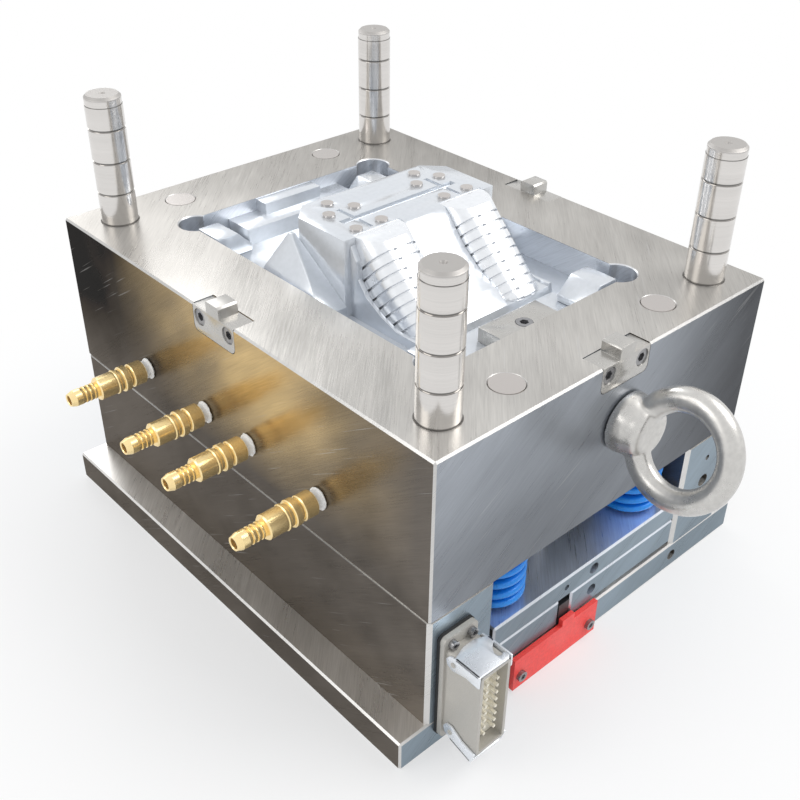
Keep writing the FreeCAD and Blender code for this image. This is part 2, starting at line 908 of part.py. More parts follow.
def headed_pin(name, diameter, foot, top, head_growth, head_height):
    """A pin with a head at its foot, as return pins and ejector pins have."""
    return turned(name, [
        (ZERO, foot),
        ((diameter + head_growth) / 2, foot),
        ((diameter + head_growth) / 2, foot + head_height),
        (diameter / 2, foot + head_height),
        (diameter / 2, top),
        (ZERO, top),
    ])


# Return pins: they end flush with the parting face
for number, (x, y) in enumerate(return_pin_places, start=1):
    pin = headed_pin(f"ReturnPin{number}", d.return_pin_diameter, retainer_bottom, parting,
                     d.pin_head_growth, d.pin_head_height)
    node(f"return_pin_{number}", place(pin, x, y))

# Ejector pins: they stand a little proud of the core
ejector_pins = [
    place(headed_pin(f"EjectorPin{number}", d.ejector_pin_diameter, retainer_bottom,
                     core_top + d.ejector_pin_proud, d.pin_head_growth, d.pin_head_height), x, y)
    for number, (x, y) in enumerate(ejector_pin_places, start=1)
]
node("ejector_pins", group(ejector_pins, "EjectorPins"))

# Ejector plate and retainer plate
plate_half_width = half_width - d.spacer_width - d.plate_side_gap
plate_half_length = half_length - d.plate_end_gap
bush_outer = d.guide_pin_diameter + 2 * d.bush_wall

ejector = plate("EjectorPlate", -plate_half_width, -plate_half_length,
                plate_half_width, plate_half_length, ejector_bottom, d.ejector_plate_thickness)
bored(ejector, support_places, d.support_diameter + 2 * d.support_clearance,
      ejector_bottom, d.ejector_plate_thickness)
bored(ejector, guide_places, bush_outer, ejector_bottom, d.ejector_plate_thickness)
bored(ejector, [(ZERO, ZERO)], d.rod_thread_diameter, ejector_bottom, d.ejector_plate_thickness)
bored(ejector, plate_screw_places, d.plate_screw_diameter + 2 * d.bolt_clearance,
      ejector_bottom, d.ejector_plate_thickness)
bored(ejector, plate_screw_places, d.plate_screw_head_diameter + 2 * d.bolt_clearance,
      ejector_bottom, d.plate_screw_head_height + d.head_recess)
sunk(ejector, -d.switch_slot_left, -plate_half_length, -d.switch_slot_right,
     -plate_half_length + d.switch_slot_length, retainer_bottom, d.ejector_plate_thickness)
bevelled(ejector, d.edge_chamfer, lambda e: on_outside(e, plate_half_width, plate_half_length))
ejector_hole = rod(d.end_hole_diameter, d.end_hole_depth,
                   (d.end_hole_x, -plate_half_length, ejector_bottom + d.ejector_plate_thickness / 2),
                   "+Y")
node("ejector_plate", cut(ejector, [ejector_hole], "EjectorPlateCut"))

retainer = plate("RetainerPlate", -plate_half_width, -plate_half_length,
                 plate_half_width, plate_half_length, retainer_bottom, d.retainer_plate_thickness)
bored(retainer, support_places, d.support_diameter + 2 * d.support_clearance,
      retainer_bottom, d.retainer_plate_thickness)
bored(retainer, guide_places, bush_outer, retainer_bottom, d.retainer_plate_thickness)
bored(retainer, guide_places, bush_outer + 2 * d.bush_flange_growth,
      retainer_bottom, d.bush_flange_height)
pin_hole_growth = 2 * d.bolt_clearance
bored(retainer, return_pin_places, d.return_pin_diameter + pin_hole_growth,
      retainer_bottom, d.retainer_plate_thickness)
bored(retainer, return_pin_places, d.return_pin_diameter + d.pin_head_growth + pin_hole_growth,
      retainer_bottom, d.pin_head_height)
bored(retainer, ejector_pin_places, d.ejector_pin_diameter + pin_hole_growth,
      retainer_bottom, d.retainer_plate_thickness)
bored(retainer, ejector_pin_places, d.ejector_pin_diameter + d.pin_head_growth + pin_hole_growth,
      retainer_bottom, d.pin_head_height)
bored(retainer, plate_screw_places, d.plate_screw_diameter + 2 * d.bolt_clearance,
      retainer_bottom, d.plate_screw_reach + d.overrun)
bevelled(retainer, d.edge_chamfer, lambda e: on_outside(e, plate_half_width, plate_half_length))
retainer_mid = retainer_bottom + d.retainer_plate_thickness / 2
retainer_holes = [
    rod(d.end_hole_diameter, d.end_hole_depth, (d.end_hole_x, -plate_half_length, retainer_mid), "+Y"),
    rod(d.small_hole_diameter, d.small_hole_depth,
        (-(d.switch_slot_left + d.switch_slot_right) / 2, -plate_half_length, retainer_mid), "+Y"),
]
node("retainer_plate", cut(retainer, retainer_holes, "RetainerPlateCut"))

# Guided ejection: two pins fixed in the clamping plate and their bushes in the ejector plates
guide_pins = []
for number, (x, y) in enumerate(guide_places, start=1):
    guide_pins.append(place(headed_pin(
        f"GuidePin{number}", d.guide_pin_diameter, ZERO, core_bottom + d.guide_pin_seat,
        d.pin_head_growth, d.pin_head_height), x, y))
node("ejector_guide_pins", group(guide_pins, "GuidePins"))

bush_bore = d.guide_pin_diameter / 2 + d.running_clearance
bushes = []
for number, (x, y) in enumerate(guide_places, start=1):
    bush = turned(f"GuideBush{number}", [
        (bush_bore, ejector_bottom),
        (bush_outer / 2, ejector_bottom),
        (bush_outer / 2, retainer_bottom),
        (bush_outer / 2 + d.bush_flange_growth, retainer_bottom),
        (bush_outer / 2 + d.bush_flange_growth, retainer_bottom + d.bush_flange_height),
        (bush_outer / 2, retainer_bottom + d.bush_flange_height),
        (bush_outer / 2, retainer_top),
        (bush_bore, retainer_top),
    ])
    bushes.append(place(bush, x, y))
node("ejector_guide_bushes", group(bushes, "GuideBushes"))

# Support pillars and rest buttons between the plates
node("support_pillars", group(
    [rod(d.support_diameter, d.spacer_height, (x, y, spacer_bottom)) for x, y in support_places],
    "SupportPillars",
))
rest_places = corners(d.rest_button_x, half_length - d.rest_button_end_inset)
node("rest_buttons", group(
    [rod(d.rest_button_diameter, d.rest_button_height, (x, y, spacer_bottom))
     for x, y in rest_places],
    "RestButtons",
))


def cap_screw(point, direction, diameter, head_diameter, head_height, reach):
    """A socket head screw whose head stands behind the point and whose shank runs onwards."""
    head = rod(head_diameter, head_height, moved(point, direction, -head_height), direction)
    shank = rod(diameter, reach, point, direction)
    socket = hexagon(head_diameter * d.socket_width_share, head_height * d.socket_depth_share,
                     moved(point, direction, -head_height), direction)
    return cut(fused([head, shank], "Screw"), [socket], "Screw")


# Screws that hold the plates
node("base_bolts", group([
    cap_screw((x, y, d.bolt_head_height + d.head_recess), "+Z", d.bolt_diameter,
              d.bolt_head_diameter, d.bolt_head_height,
              core_bottom + d.bolt_reach - d.bolt_head_height - d.head_recess)
    for x, y in bolt_places
], "BaseBolts"))
node("ejector_plate_screws", group([
    cap_screw((x, y, ejector_bottom + d.plate_screw_head_height + d.head_recess), "+Z",
              d.plate_screw_diameter, d.plate_screw_head_diameter, d.plate_screw_head_height,
              retainer_bottom + d.plate_screw_reach
              - ejector_bottom - d.plate_screw_head_height - d.head_recess)
    for x, y in plate_screw_places
], "EjectorPlateScrews"))
node("insert_screws", group([
    cap_screw((x, y, core_bottom + d.insert_screw_head_height + d.head_recess), "+Z",
              d.insert_screw_diameter, d.insert_screw_head_diameter, d.insert_screw_head_height,
              pocket_floor + d.insert_screw_reach
              - core_bottom - d.insert_screw_head_height - d.head_recess)
    for x, y in insert_screw_places
], "InsertScrews"))


def arch(drawing, half, crest, foot, radius):
    """A round-shouldered section: upright sides, two quarter rounds and a level crest."""
    shoulder = crest - radius
    flat = half - radius
    lines = [
        ((-half, shoulder), (-half, foot)),
        ((-half, foot), (half, foot)),
        ((half, foot), (half, shoulder)),
        ((flat, crest), (-flat, crest)),
    ]
    for start, end in lines:
        ends = [FreeCAD.Vector(float(x), float(y), 0) for x, y in (start, end)]
        drawing.addGeometry(Part.LineSegment(*ends))
    up = FreeCAD.Vector(0, 0, 1)
    for x, first in ((flat, 0), (-flat, math.pi / 2)):
        ring = Part.Circle(FreeCAD.Vector(float(x), float(shoulder), 0), up, float(radius))
        drawing.addGeometry(Part.ArcOfCircle(ring, first, first + math.pi / 2))
    joints = [((0, 2), (1, 1)), ((1, 2), (2, 1)), ((2, 2), (4, 1)), ((4, 2), (3, 1)),
              ((3, 2), (5, 1)), ((5, 2), (0, 1))]
    for (one, one_end), (other, other_end) in joints:
        drawing.addConstraint(Sketcher.Constraint("Coincident", one, one_end, other, other_end))
    for number, (start, end) in enumerate(lines):
        tie(drawing, "DistanceX", start[0], -1, 1, number, 1)
        tie(drawing, "DistanceY", start[1], -1, 1, number, 1)
    tie(drawing, "DistanceX", half, -1, 1, 2, 2)
    tie(drawing, "DistanceY", shoulder, -1, 1, 2, 2)
    tie(drawing, "DistanceX", -flat, -1, 1, 3, 2)
    tie(drawing, "DistanceY", crest, -1, 1, 3, 2)
    tie(drawing, "Radius", radius, 4)
    tie(drawing, "Radius", radius, 5)


# Core insert: the moulding core that fills the pocket and rises above the parting face
fit = d.fit_clearance
insert = plate("CoreInsert", -d.pocket_width / 2 + fit, -d.pocket_length / 2 + fit,
               d.pocket_width / 2 - fit, d.pocket_length / 2 - fit,
               pocket_floor, core_floor - pocket_floor)

plateau = sketch(insert, offset=core_floor)
wide = d.plateau_half_width
cut_corner = d.plateau_corner
outline(plateau, [
    (-wide, -d.plateau_front),
    (wide, -d.plateau_front),
    (wide, d.plateau_back - cut_corner),
    (wide - cut_corner, d.plateau_back),
    (-wide + cut_corner, d.plateau_back),
    (-wide, d.plateau_back - cut_corner),
])
feature(insert, "Pad", plateau, Length=core_top - core_floor)

sill_level = core_floor + d.ramp_sill_rise
sill_front = -d.ramp_foot_y - d.ramp_sill_run
ramp_front = -d.ramp_foot_y - d.ramp_sill_end_run
ramp_levels = [
    (-d.ramp_top_y, core_floor),
    (-d.ramp_top_y, core_top - d.ramp_lip_drop),
    (-d.ramp_top_y - d.ramp_lip_run, core_top - d.ramp_top_drop),
    (-d.ramp_top_y - d.ramp_wall_run, core_top - d.ramp_wall_drop),
    (-d.ramp_top_y - d.ramp_step_run, core_floor + d.ramp_step_rise),
    (-d.ramp_knee_y, core_floor + d.ramp_knee_rise),
    (-d.ramp_foot_y + d.ramp_sill_run, sill_level),
    (sill_front, sill_level),
    (ramp_front, core_floor),
]
ramp = sketch(insert, "YZ_Plane")
outline(ramp, ramp_levels)
feature(insert, "Pad", ramp, Length=2 * d.ramp_half_width, Midplane=True)

rim_levels = [(y, z + d.rim_height) for y, z in ramp_levels[2:-1]]
for side in (-1, 1):
    rim = sketch(insert, "YZ_Plane", offset=(d.ramp_half_width - d.rim_width / 2) * side)
    outline(rim, [ramp_levels[0]] + rim_levels + [ramp_levels[-1]])
    feature(insert, "Pad", rim, Length=d.rim_width, Midplane=True)

saddle_half = d.lobe_x - d.lobe_width / 2 + d.saddle_overlap
saddle = sketch(insert, "YZ_Plane")
saddle_steps = [
    (getattr(d, f"saddle_run_{n}"), getattr(d, f"saddle_drop_{n}"))
    for n in range(1, SADDLE_STEPS + 1)
]
outline(saddle, [
    (-d.plateau_front, core_floor),
    (-d.plateau_front, core_top),
    *[(-d.plateau_front - run, core_top - drop) for run, drop in saddle_steps],
    (sill_front, sill_level),
    (ramp_front, core_floor),
])
feature(insert, "Pad", saddle, Length=2 * saddle_half, Midplane=True)

# A stepped ledge along the back wall of the pocket, clear of the heel blocks
ledge_back = d.pocket_length / 2 - fit
ledge_half = d.pocket_width / 2 - d.relief_inset_x - d.heel_width - d.ledge_heel_gap
for half, depth, rise in (
    (ledge_half, d.ledge_depth, d.ledge_rise),
    (d.ledge_step_x, d.ledge_step_depth, d.ledge_rise + d.ledge_step_rise),
):
    ledge = sketch(insert, offset=core_floor)
    rectangle(ledge, -half, ledge_back - depth, half, ledge_back)
    feature(insert, "Pad", ledge, Length=rise)

runner_half = d.runner_length / 2
sunk(insert, -runner_half, -d.runner_width / 2, runner_half, d.runner_width / 2,
     core_top, d.runner_depth)
for side in (-1, 1):
    branch = d.branch_x * side
    sunk(insert, branch - d.branch_width / 2, -d.branch_length / 2,
         branch + d.branch_width / 2, d.branch_length / 2, core_top, d.branch_depth)
bored(insert, ejector_pin_places, d.ejector_pin_diameter + 2 * d.running_clearance,
      pocket_floor, core_top - pocket_floor)
bored(insert, insert_screw_places, d.insert_screw_diameter + 2 * d.bolt_clearance,
      pocket_floor, d.insert_screw_reach + d.overrun)
gib_low_y = -d.pocket_length / 2 + d.gib_front_gap
gib_place = (d.gib_centre_x, gib_low_y + d.gib_length / 2)
bored(insert, [gib_place], d.gib_screw_diameter + 2 * d.bolt_clearance,
      core_floor, d.gib_screw_reach + d.overrun, downwards=True)

# Ribbed cores: two leaning half barrels let into the ramp
lobe_back = -d.plateau_front + d.lobe_overlap
lobe_front = -(d.ramp_foot_y + d.lobe_toe_run)
lobe_seat = core_floor - d.lobe_seat_depth
lobe_level = core_top - d.lobe_top_drop


def lobe_plan(drawing, growth):
    """The lobe seen from above: square at the plateau, round-cornered at the toe."""
    half = d.lobe_width / 2 + growth
    front = lobe_front - growth
    radius = d.lobe_toe_radius + growth
    flat = half - radius
    back = lobe_back + growth
    lines = [
        ((half, back), (-half, back)),
        ((-half, back), (-half, front + radius)),
        ((-flat, front), (flat, front)),
        ((half, front + radius), (half, back)),
    ]
    for start, end in lines:
        ends = [FreeCAD.Vector(float(x), float(y), 0) for x, y in (start, end)]
        drawing.addGeometry(Part.LineSegment(*ends))
    up = FreeCAD.Vector(0, 0, 1)
    for x, first in ((-flat, math.pi), (flat, math.pi * 1.5)):
        ring = Part.Circle(FreeCAD.Vector(float(x), float(front + radius), 0), up, float(radius))
        drawing.addGeometry(Part.ArcOfCircle(ring, first, first + math.pi / 2))
    joints = [((0, 2), (1, 1)), ((1, 2), (4, 1)), ((4, 2), (2, 1)), ((2, 2), (5, 1)),
              ((5, 2), (3, 1)), ((3, 2), (0, 1))]
    for (one, one_end), (other, other_end) in joints:
        drawing.addConstraint(Sketcher.Constraint("Coincident", one, one_end, other, other_end))
    for number, (start, end) in enumerate(lines):
        tie(drawing, "DistanceX", start[0], -1, 1, number, 1)
        tie(drawing, "DistanceY", start[1], -1, 1, number, 1)
    tie(drawing, "DistanceX", -half, -1, 1, 1, 2)
    tie(drawing, "DistanceY", front + radius, -1, 1, 1, 2)
    tie(drawing, "DistanceX", flat, -1, 1, 2, 2)
    tie(drawing, "DistanceY", front, -1, 1, 2, 2)
    tie(drawing, "Radius", radius, 4)
    tie(drawing, "Radius", radius, 5)


def lobe_pillar(name, growth, foot, top):
    body = new_body(name)
    drawing = sketch(body, offset=foot)
    lobe_plan(drawing, growth)
    feature(body, "Pad", drawing, Length=top - foot)
    return body


LEAN = FreeCAD.Rotation(FreeCAD.Vector(1, 0, 0), float(d.lobe_slope))


def leaning(thing, x=ZERO):
    """Tip a solid drawn along -Y so that it runs down the slope from the knee of the lobe."""
    thing.Placement = FreeCAD.Placement(FreeCAD.Vector(), LEAN)
    return place(thing, x, -d.lobe_top_y, lobe_level)


def barrel(name, inset):
    body = new_body(name)
    drawing = sketch(body, "XZ_Plane", offset=-d.lobe_run_in * 2)
    arch(drawing, d.lobe_width / 2 - inset, -inset, -d.lobe_length * 2, d.lobe_corner - inset)
    feature(body, "Pad", drawing, Length=d.lobe_length * 3)
    return leaning(body)


def slab(start, end):
    """A slice across the lobe between two places on the slope."""
    wide_ = d.lobe_width
    deep = 2 * d.lobe_length
    thing = doc.addObject("Part::Box", "Slab")
    bind(thing, Length=wide_ * 2, Width=end - start, Height=deep + d.lobe_run_in)
    thing.Placement = FreeCAD.Placement(FreeCAD.Vector(), LEAN)
    low = ZERO - end
    x = -wide_
    y = -d.lobe_top_y + low * cosine(d.lobe_slope) + deep * sine(d.lobe_slope)
    z = lobe_level + low * sine(d.lobe_slope) - deep * cosine(d.lobe_slope)
    return place(thing, x, y, z)


rib_start = d.rib_start
slabs = [slab(-d.lobe_run_in * 2, rib_start)]
for number in range(round(d.rib_count.number)):
    start = rib_start + d.rib_slot_width + d.rib_pitch * number
    slabs.append(slab(start, start + d.rib_pitch - d.rib_slot_width))
last = rib_start + d.rib_slot_width + d.rib_pitch * float(d.rib_count)
slabs.append(slab(last, last + d.lobe_length))
crest_strip = block((-d.crest_strip_width / 2, lobe_front, lobe_seat),
                    (d.crest_strip_width / 2, lobe_back, lobe_level))
seat_block = block((-d.lobe_width, lobe_front, lobe_seat),
                   (d.lobe_width, lobe_back, sill_level))
outer_lobe = common(lobe_pillar("LobeOuter", -fit, lobe_seat, lobe_level), barrel("Barrel", fit))
inner_lobe = common(
    lobe_pillar("LobeInner", -d.rib_slot_depth, lobe_seat, lobe_level - d.lobe_core_drop),
    barrel("BarrelInner", d.rib_slot_depth),
)
ribs = common(outer_lobe, fused(slabs + [crest_strip, seat_block], "Ribs"), "RibbedSkin")
lobe = fused([inner_lobe, ribs], "Lobe")
doc.recompute()
for side, side_name in ((-1, "left"), (1, "right")):
    node(f"ribbed_core_{side_name}", place(copied(lobe, "RibbedCore"), d.lobe_x * side))
lobe_seats = [
    place(lobe_pillar("LobeSeat", ZERO, lobe_seat, core_top + d.overrun), d.lobe_x * side)
    for side in (-1, 1)
]
node("core_insert", cut(insert, lobe_seats, "CoreInsertCut"))

# Loose blocks on the floor beside the core
side_inner = d.plateau_half_width + fit
side_outer = d.pocket_width / 2 - fit
side_top = core_floor + d.side_core_rise
side_cores = []
for side in (-1, 1):
    body = new_body("SideCore")
    drawing = sketch(body, "XZ_Plane", offset=-d.side_core_back)
    outline(drawing, [
        (side_inner * side, core_floor),
        (side_outer * side, core_floor),
        (side_outer * side, core_floor + d.side_core_foot_rise),
        ((side_inner + d.side_core_shoulder_run) * side, core_floor + d.side_core_shoulder_rise),
        ((side_inner + d.side_core_ridge) * side, side_top),
        (side_inner * side, side_top),
    ])
    feature(body, "Pad", drawing, Length=d.side_core_back + d.side_core_front)
    facet = sketch(body, "YZ_Plane")
    outline(facet, [
        (-d.side_core_front - d.overrun, core_floor + d.side_core_foot_rise),
        (-d.side_core_front + d.side_core_front_run, side_top + d.overrun),
        (-d.side_core_front - d.overrun, side_top + d.overrun),
    ])
    feature(body, "Pocket", facet, Length=2 * d.pocket_width, Midplane=True)
    back_facet = sketch(body, "YZ_Plane")
    outline(back_facet, [
        (d.side_core_back + d.overrun, core_floor + 2 * d.side_core_foot_rise),
        (d.side_core_back + d.overrun, side_top + d.overrun),
        (d.side_core_back - d.side_core_back_run, side_top + d.overrun),
    ])
    feature(body, "Pocket", back_facet, Length=2 * d.pocket_width, Midplane=True)
    side_cores.append(body)
node("side_cores", group(side_cores, "SideCores"))

heels = []
heel_top = core_floor + d.heel_rise
for x_side, y_side in ALL_SIDES:
    outer_x = d.pocket_width / 2 - d.relief_inset_x
    outer_y = d.pocket_length / 2 - d.relief_inset_y
    body = new_body("Heel")
    near_y = -outer_y if y_side > 0 else outer_y - d.heel_length
    drawing = sketch(body, "XZ_Plane", offset=near_y)
    outline(drawing, [
        ((outer_x - d.heel_width) * x_side, core_floor),
        (outer_x * x_side, core_floor),
        (outer_x * x_side, heel_top),
        ((outer_x - d.heel_width + d.heel_slope_width) * x_side, heel_top),
        ((outer_x - d.heel_width) * x_side, heel_top - d.heel_slope_width),
    ])
    feature(body, "Pad", drawing, Length=d.heel_length)
    heels.append(body)
node("heel_blocks", group(heels, "HeelBlocks"))

gib_top = core_floor + d.gib_rise
gib_low_x = d.gib_centre_x - d.gib_width / 2
gib = block((gib_low_x, gib_low_y, core_floor),
            (gib_low_x + d.gib_width, gib_low_y + d.gib_length, gib_top))
gib_point = (*gib_place, gib_top - d.gib_screw_head_height)
gib_hole = rod(d.gib_screw_diameter + 2 * d.bolt_clearance, d.gib_rise, (*gib_place, core_floor))
gib_recess = rod(d.gib_screw_head_diameter + 2 * d.bolt_clearance, d.gib_screw_head_height, gib_point)
node("stop_block", cut(gib, [gib_hole, gib_recess], "StopBlock"))

# Side locks in the four side faces
tongue_top = parting + d.tongue_rise


def side_lock(face):
    body = new_body(f"SideLock{face.title()}")
    drawing = sketch(body, "XZ_Plane")
    rectangle(drawing, -d.lock_width / 2, lock_bottom, d.lock_width / 2, parting - d.lock_drop)
    feature(body, "Pad", drawing, Length=d.lock_depth, Reversed=True)
    rounded(body, d.lock_corner, lambda e: is_along(e, "Y") and lies_low(e, lock_bottom))
    tongue = sketch(body, "XZ_Plane")
    half = d.tongue_width / 2
    outline(tongue, [
        (-half, lock_bottom + d.lock_corner),
        (half, lock_bottom + d.lock_corner),
        (half, tongue_top - d.tongue_chamfer),
        (half - d.tongue_chamfer, tongue_top),
        (-half + d.tongue_chamfer, tongue_top),
        (-half, tongue_top - d.tongue_chamfer),
    ])
    feature(body, "Pad", tongue, Length=d.tongue_depth, Reversed=True)
    for diameter, depth in (
        (d.lock_screw_diameter + 2 * d.bolt_clearance, d.lock_depth),
        (d.lock_screw_head_diameter + 2 * d.bolt_clearance, d.lock_screw_seat),
    ):
        holes = sketch(body, "XZ_Plane")
        circles(holes, [(d.lock_screw_pitch / 2 * side, lock_screw_z) for side in (-1, 1)], diameter)
        feature(body, "Pocket", holes, Length=depth)
    return on_face(face)(body)


for face in FACES:
    node(f"side_lock_{face}", side_lock(face))
lock_screws = [
    cap_screw(moved(point, inward, d.lock_screw_seat), inward, d.lock_screw_diameter,
              d.lock_screw_head_diameter, d.lock_screw_head_height,
              d.lock_depth - d.lock_screw_seat + d.lock_screw_reach)
    for point, inward in lock_screw_points
]
node("side_lock_screws", group(lock_screws, "SideLockScrews"))

# Coolant couplings, drawn outward from the face
nipple_radius = d.nipple_diameter / 2
nipple_end = d.nipple_stub + d.sleeve_length
body_start = d.nipple_stub + d.sleeve_gap
sleeve_start = body_start + d.sleeve_gap
sleeve_end = sleeve_start + d.sleeve_length
collar_start = sleeve_end + d.collar_gap
waist_start = collar_start + d.collar_length
second_collar_start = waist_start + d.waist_length
tail_start = second_collar_start + d.second_collar_length
body_end = tail_start + d.body_length
barb_start = body_end + d.barb_pitch * d.barb_count
barb_end = barb_start + d.barb_tail
hose_radius = d.hose_bore / 2
neck_radius = d.body_neck_outer / 2
waist_radius = d.waist_outer / 2
root_radius = d.barb_root / 2


def ring(outer, start, end, chamfer):
    """The outline of a turned ring with broken corners."""
    return [
        (outer / 2 - chamfer, start), (outer / 2, start + chamfer),
        (outer / 2, end - chamfer), (outer / 2 - chamfer, end),
    ]


coupler_profile = [
    (nipple_radius, body_start),
    (neck_radius, body_start),
    (neck_radius, collar_start),
    *ring(d.collar_outer, collar_start, waist_start, d.collar_chamfer),
    (waist_radius, waist_start),
    (waist_radius, second_collar_start),
    *ring(d.second_collar_outer, second_collar_start, tail_start, d.collar_chamfer),
    *ring(d.body_outer, tail_start, body_end, d.body_chamfer)[1:],
    (root_radius, body_end),
]
for number in range(1, round(d.barb_count.number) + 1):
    barb = body_end + d.barb_pitch * number
    coupler_profile += [
        (d.barb_outer / 2, barb - d.barb_land),
        (d.barb_outer / 2, barb),
        (root_radius, barb),
    ]
coupler_profile += [
    (d.barb_outer / 2, barb_start + d.barb_pitch - d.barb_land),
    (d.barb_outer / 2, barb_end - d.barb_nose_length),
    (d.barb_nose_outer / 2, barb_end),
    (hose_radius + d.hose_bore_lip, barb_end),
    (hose_radius, barb_end - d.hose_bore_lip),
    (hose_radius, nipple_end),
    (nipple_radius, nipple_end),
]
nipples = []
tapes = []
for number, point in enumerate(coolant_points, start=1):
    parts = {
        "Nipple": [
            (hose_radius, -d.nipple_depth), (nipple_radius, -d.nipple_depth),
            (nipple_radius, nipple_end), (hose_radius, nipple_end),
        ],
        "Tape": [
            (nipple_radius, d.tape_gap), (nipple_radius + d.tape_thickness, d.tape_gap),
            (nipple_radius + d.tape_thickness, d.nipple_stub), (nipple_radius, d.nipple_stub),
        ],
        "Sleeve": [
            (neck_radius + d.running_clearance, sleeve_start),
            *ring(d.sleeve_outer, sleeve_start, sleeve_end, d.sleeve_chamfer),
            (neck_radius + d.running_clearance, sleeve_end),
        ],
        "Coupler": coupler_profile,
    }
    made = {
        name: place(turn(turned(f"{name}{number}", profile), "-X"), *point)
        for name, profile in parts.items()
    }
    nipples.append(made["Nipple"])
    tapes.append(made["Tape"])
    node(f"coupler_sleeve_{number}", made["Sleeve"])
    node(f"coupler_body_{number}", made["Coupler"])
node("coupler_nipples", group(nipples, "CouplerNipples"))
node("sealing_tapes", group(tapes, "SealingTapes"))

# Lifting eye
eye_collar = rod(d.eye_collar_diameter, d.eye_collar_height, eye_point, "-Y")
eye_neck = cone(d.eye_neck_diameter, d.eye_ring_thickness, d.eye_collar_height,
                moved(eye_point, "-Y", d.eye_collar_height), "-Y")
eye_thread = rod(d.lifting_thread_diameter - 2 * d.bolt_clearance, d.eye_thread_length,
                 eye_point, "+Y")
eye_ring = doc.addObject("Part::Torus", "EyeRing")
eye_ring.Placement = FreeCAD.Placement(
    FreeCAD.Vector(), FreeCAD.Rotation(FreeCAD.Vector(0, 1, 0), 90 + float(d.eye_twist))
)
bind(eye_ring, Radius1=d.eye_ring_radius, Radius2=d.eye_ring_thickness / 2)
place(eye_ring, *moved(eye_point, "-Y", d.eye_ring_distance))
node("eye_bolt", fused([eye_collar, eye_neck, eye_thread, eye_ring], "EyeBolt"))

# Electrical connector on the left spacer
gasket_front = -half_length - d.gasket_thickness
flange_front = gasket_front - d.flange_thickness
rim_front = flange_front - d.hood_depth


def upright_plate(name, width, length, corner, y_back, thickness, z_mid=d.connector_z):
    """A rounded plate that faces -Y."""
    body = new_body(name)
    drawing = sketch(body, "XZ_Plane", offset=-y_back)
    rectangle(drawing, connector_x - width / 2, z_mid - length / 2,
              connector_x + width / 2, z_mid + length / 2)
    feature(body, "Pad", drawing, Length=thickness)
    rounded(body, corner, lambda e: is_along(e, "Y"))
    return body


def hollowed(body, width, length, y_front, depth, z_mid=d.connector_z):
    drawing = sketch(body, "XZ_Plane", offset=-y_front)
    rectangle(drawing, connector_x - width / 2, z_mid - length / 2,
              connector_x + width / 2, z_mid + length / 2)
    return feature(body, "Pocket", drawing, Length=depth)


inner_width = d.hood_width - 2 * d.hood_wall
inner_length = d.hood_length - 2 * d.hood_wall
flange_points = [(x, flange_front, z) for z in flange_screw_z for x in flange_screw_x]
flange_bores = [
    rod(d.flange_screw_diameter + 2 * d.bolt_clearance, -half_length - flange_front + d.overrun,
        moved(point, "-Y", d.overrun / 2), "+Y")
    for point in flange_points
]
gasket = upright_plate("Gasket", d.flange_width + d.gasket_growth,
                       d.flange_length + d.gasket_growth, d.flange_corner,
                       -half_length, d.gasket_thickness)
hollowed(gasket, inner_width, inner_length, gasket_front, d.gasket_thickness)
node("connector_gasket", cut(gasket, flange_bores, "GasketCut"))

lever_pivots = {
    "top": d.connector_z + d.hood_length / 2 - d.lever_pivot_inset,
    "bottom": d.connector_z - d.hood_length / 2 + d.lever_pivot_inset,
}
pivot_y = flange_front - d.lever_pivot_ahead
hood_side = d.hood_width / 2
stud_reach = d.lever_gap + d.lever_thickness + d.lever_stud_proud
flange = upright_plate("Flange", d.flange_width, d.flange_length, d.flange_corner,
                       gasket_front, d.flange_thickness)
hood = upright_plate("Hood", d.hood_width, d.hood_length, d.hood_corner,
                     gasket_front, d.flange_thickness + d.hood_depth)
cavity = block(
    (connector_x - inner_width / 2, rim_front - d.overrun, d.connector_z - inner_length / 2),
    (connector_x + inner_width / 2, gasket_front + d.overrun, d.connector_z + inner_length / 2),
)
studs = [
    rod(d.lever_pivot_diameter, d.hood_width + 2 * stud_reach,
        (connector_x - hood_side - stud_reach, pivot_y, z), "+X")
    for z in lever_pivots.values()
]
housing = cut(fused([flange, hood] + studs, "Housing"), [cavity] + flange_bores, "HousingCut")
node("connector_housing", housing)

contact_front = rim_front + d.contact_recess
contact_block = block(
    (connector_x - inner_width / 2 + d.contact_gap, contact_front,
     d.connector_z - inner_length / 2 + d.contact_gap),
    (connector_x + inner_width / 2 - d.contact_gap, contact_front + d.contact_block_depth,
     d.connector_z + inner_length / 2 - d.contact_gap),
)
contact_count = round(d.contact_count.number)
contact_places = [
    (connector_x + d.contact_row_gap / 2 * row,
     d.connector_z + d.contact_pitch * (step - (contact_count - 1) / 2))
    for row in (-1, 1) for step in range(contact_count)
]
contact_holes = [
    rod(d.contact_pin_diameter + 2 * d.fit_clearance, d.contact_pin_seat,
        (x, contact_front, z), "+Y")
    for x, z in contact_places
]
node("contact_block", cut(contact_block, contact_holes, "ContactBlock"))
node("contact_pins", group([
    rod(d.contact_pin_diameter, d.contact_pin_seat + d.contact_pin_proud,
        (x, contact_front - d.contact_pin_proud, z), "+Y")
    for x, z in contact_places
], "ContactPins"))
node("flange_screws", group([
    cap_screw(point, "+Y", d.flange_screw_diameter, d.flange_screw_head_diameter,
              d.flange_screw_head_height, d.flange_screw_reach)
    for point in flange_points
], "FlangeScrews"))


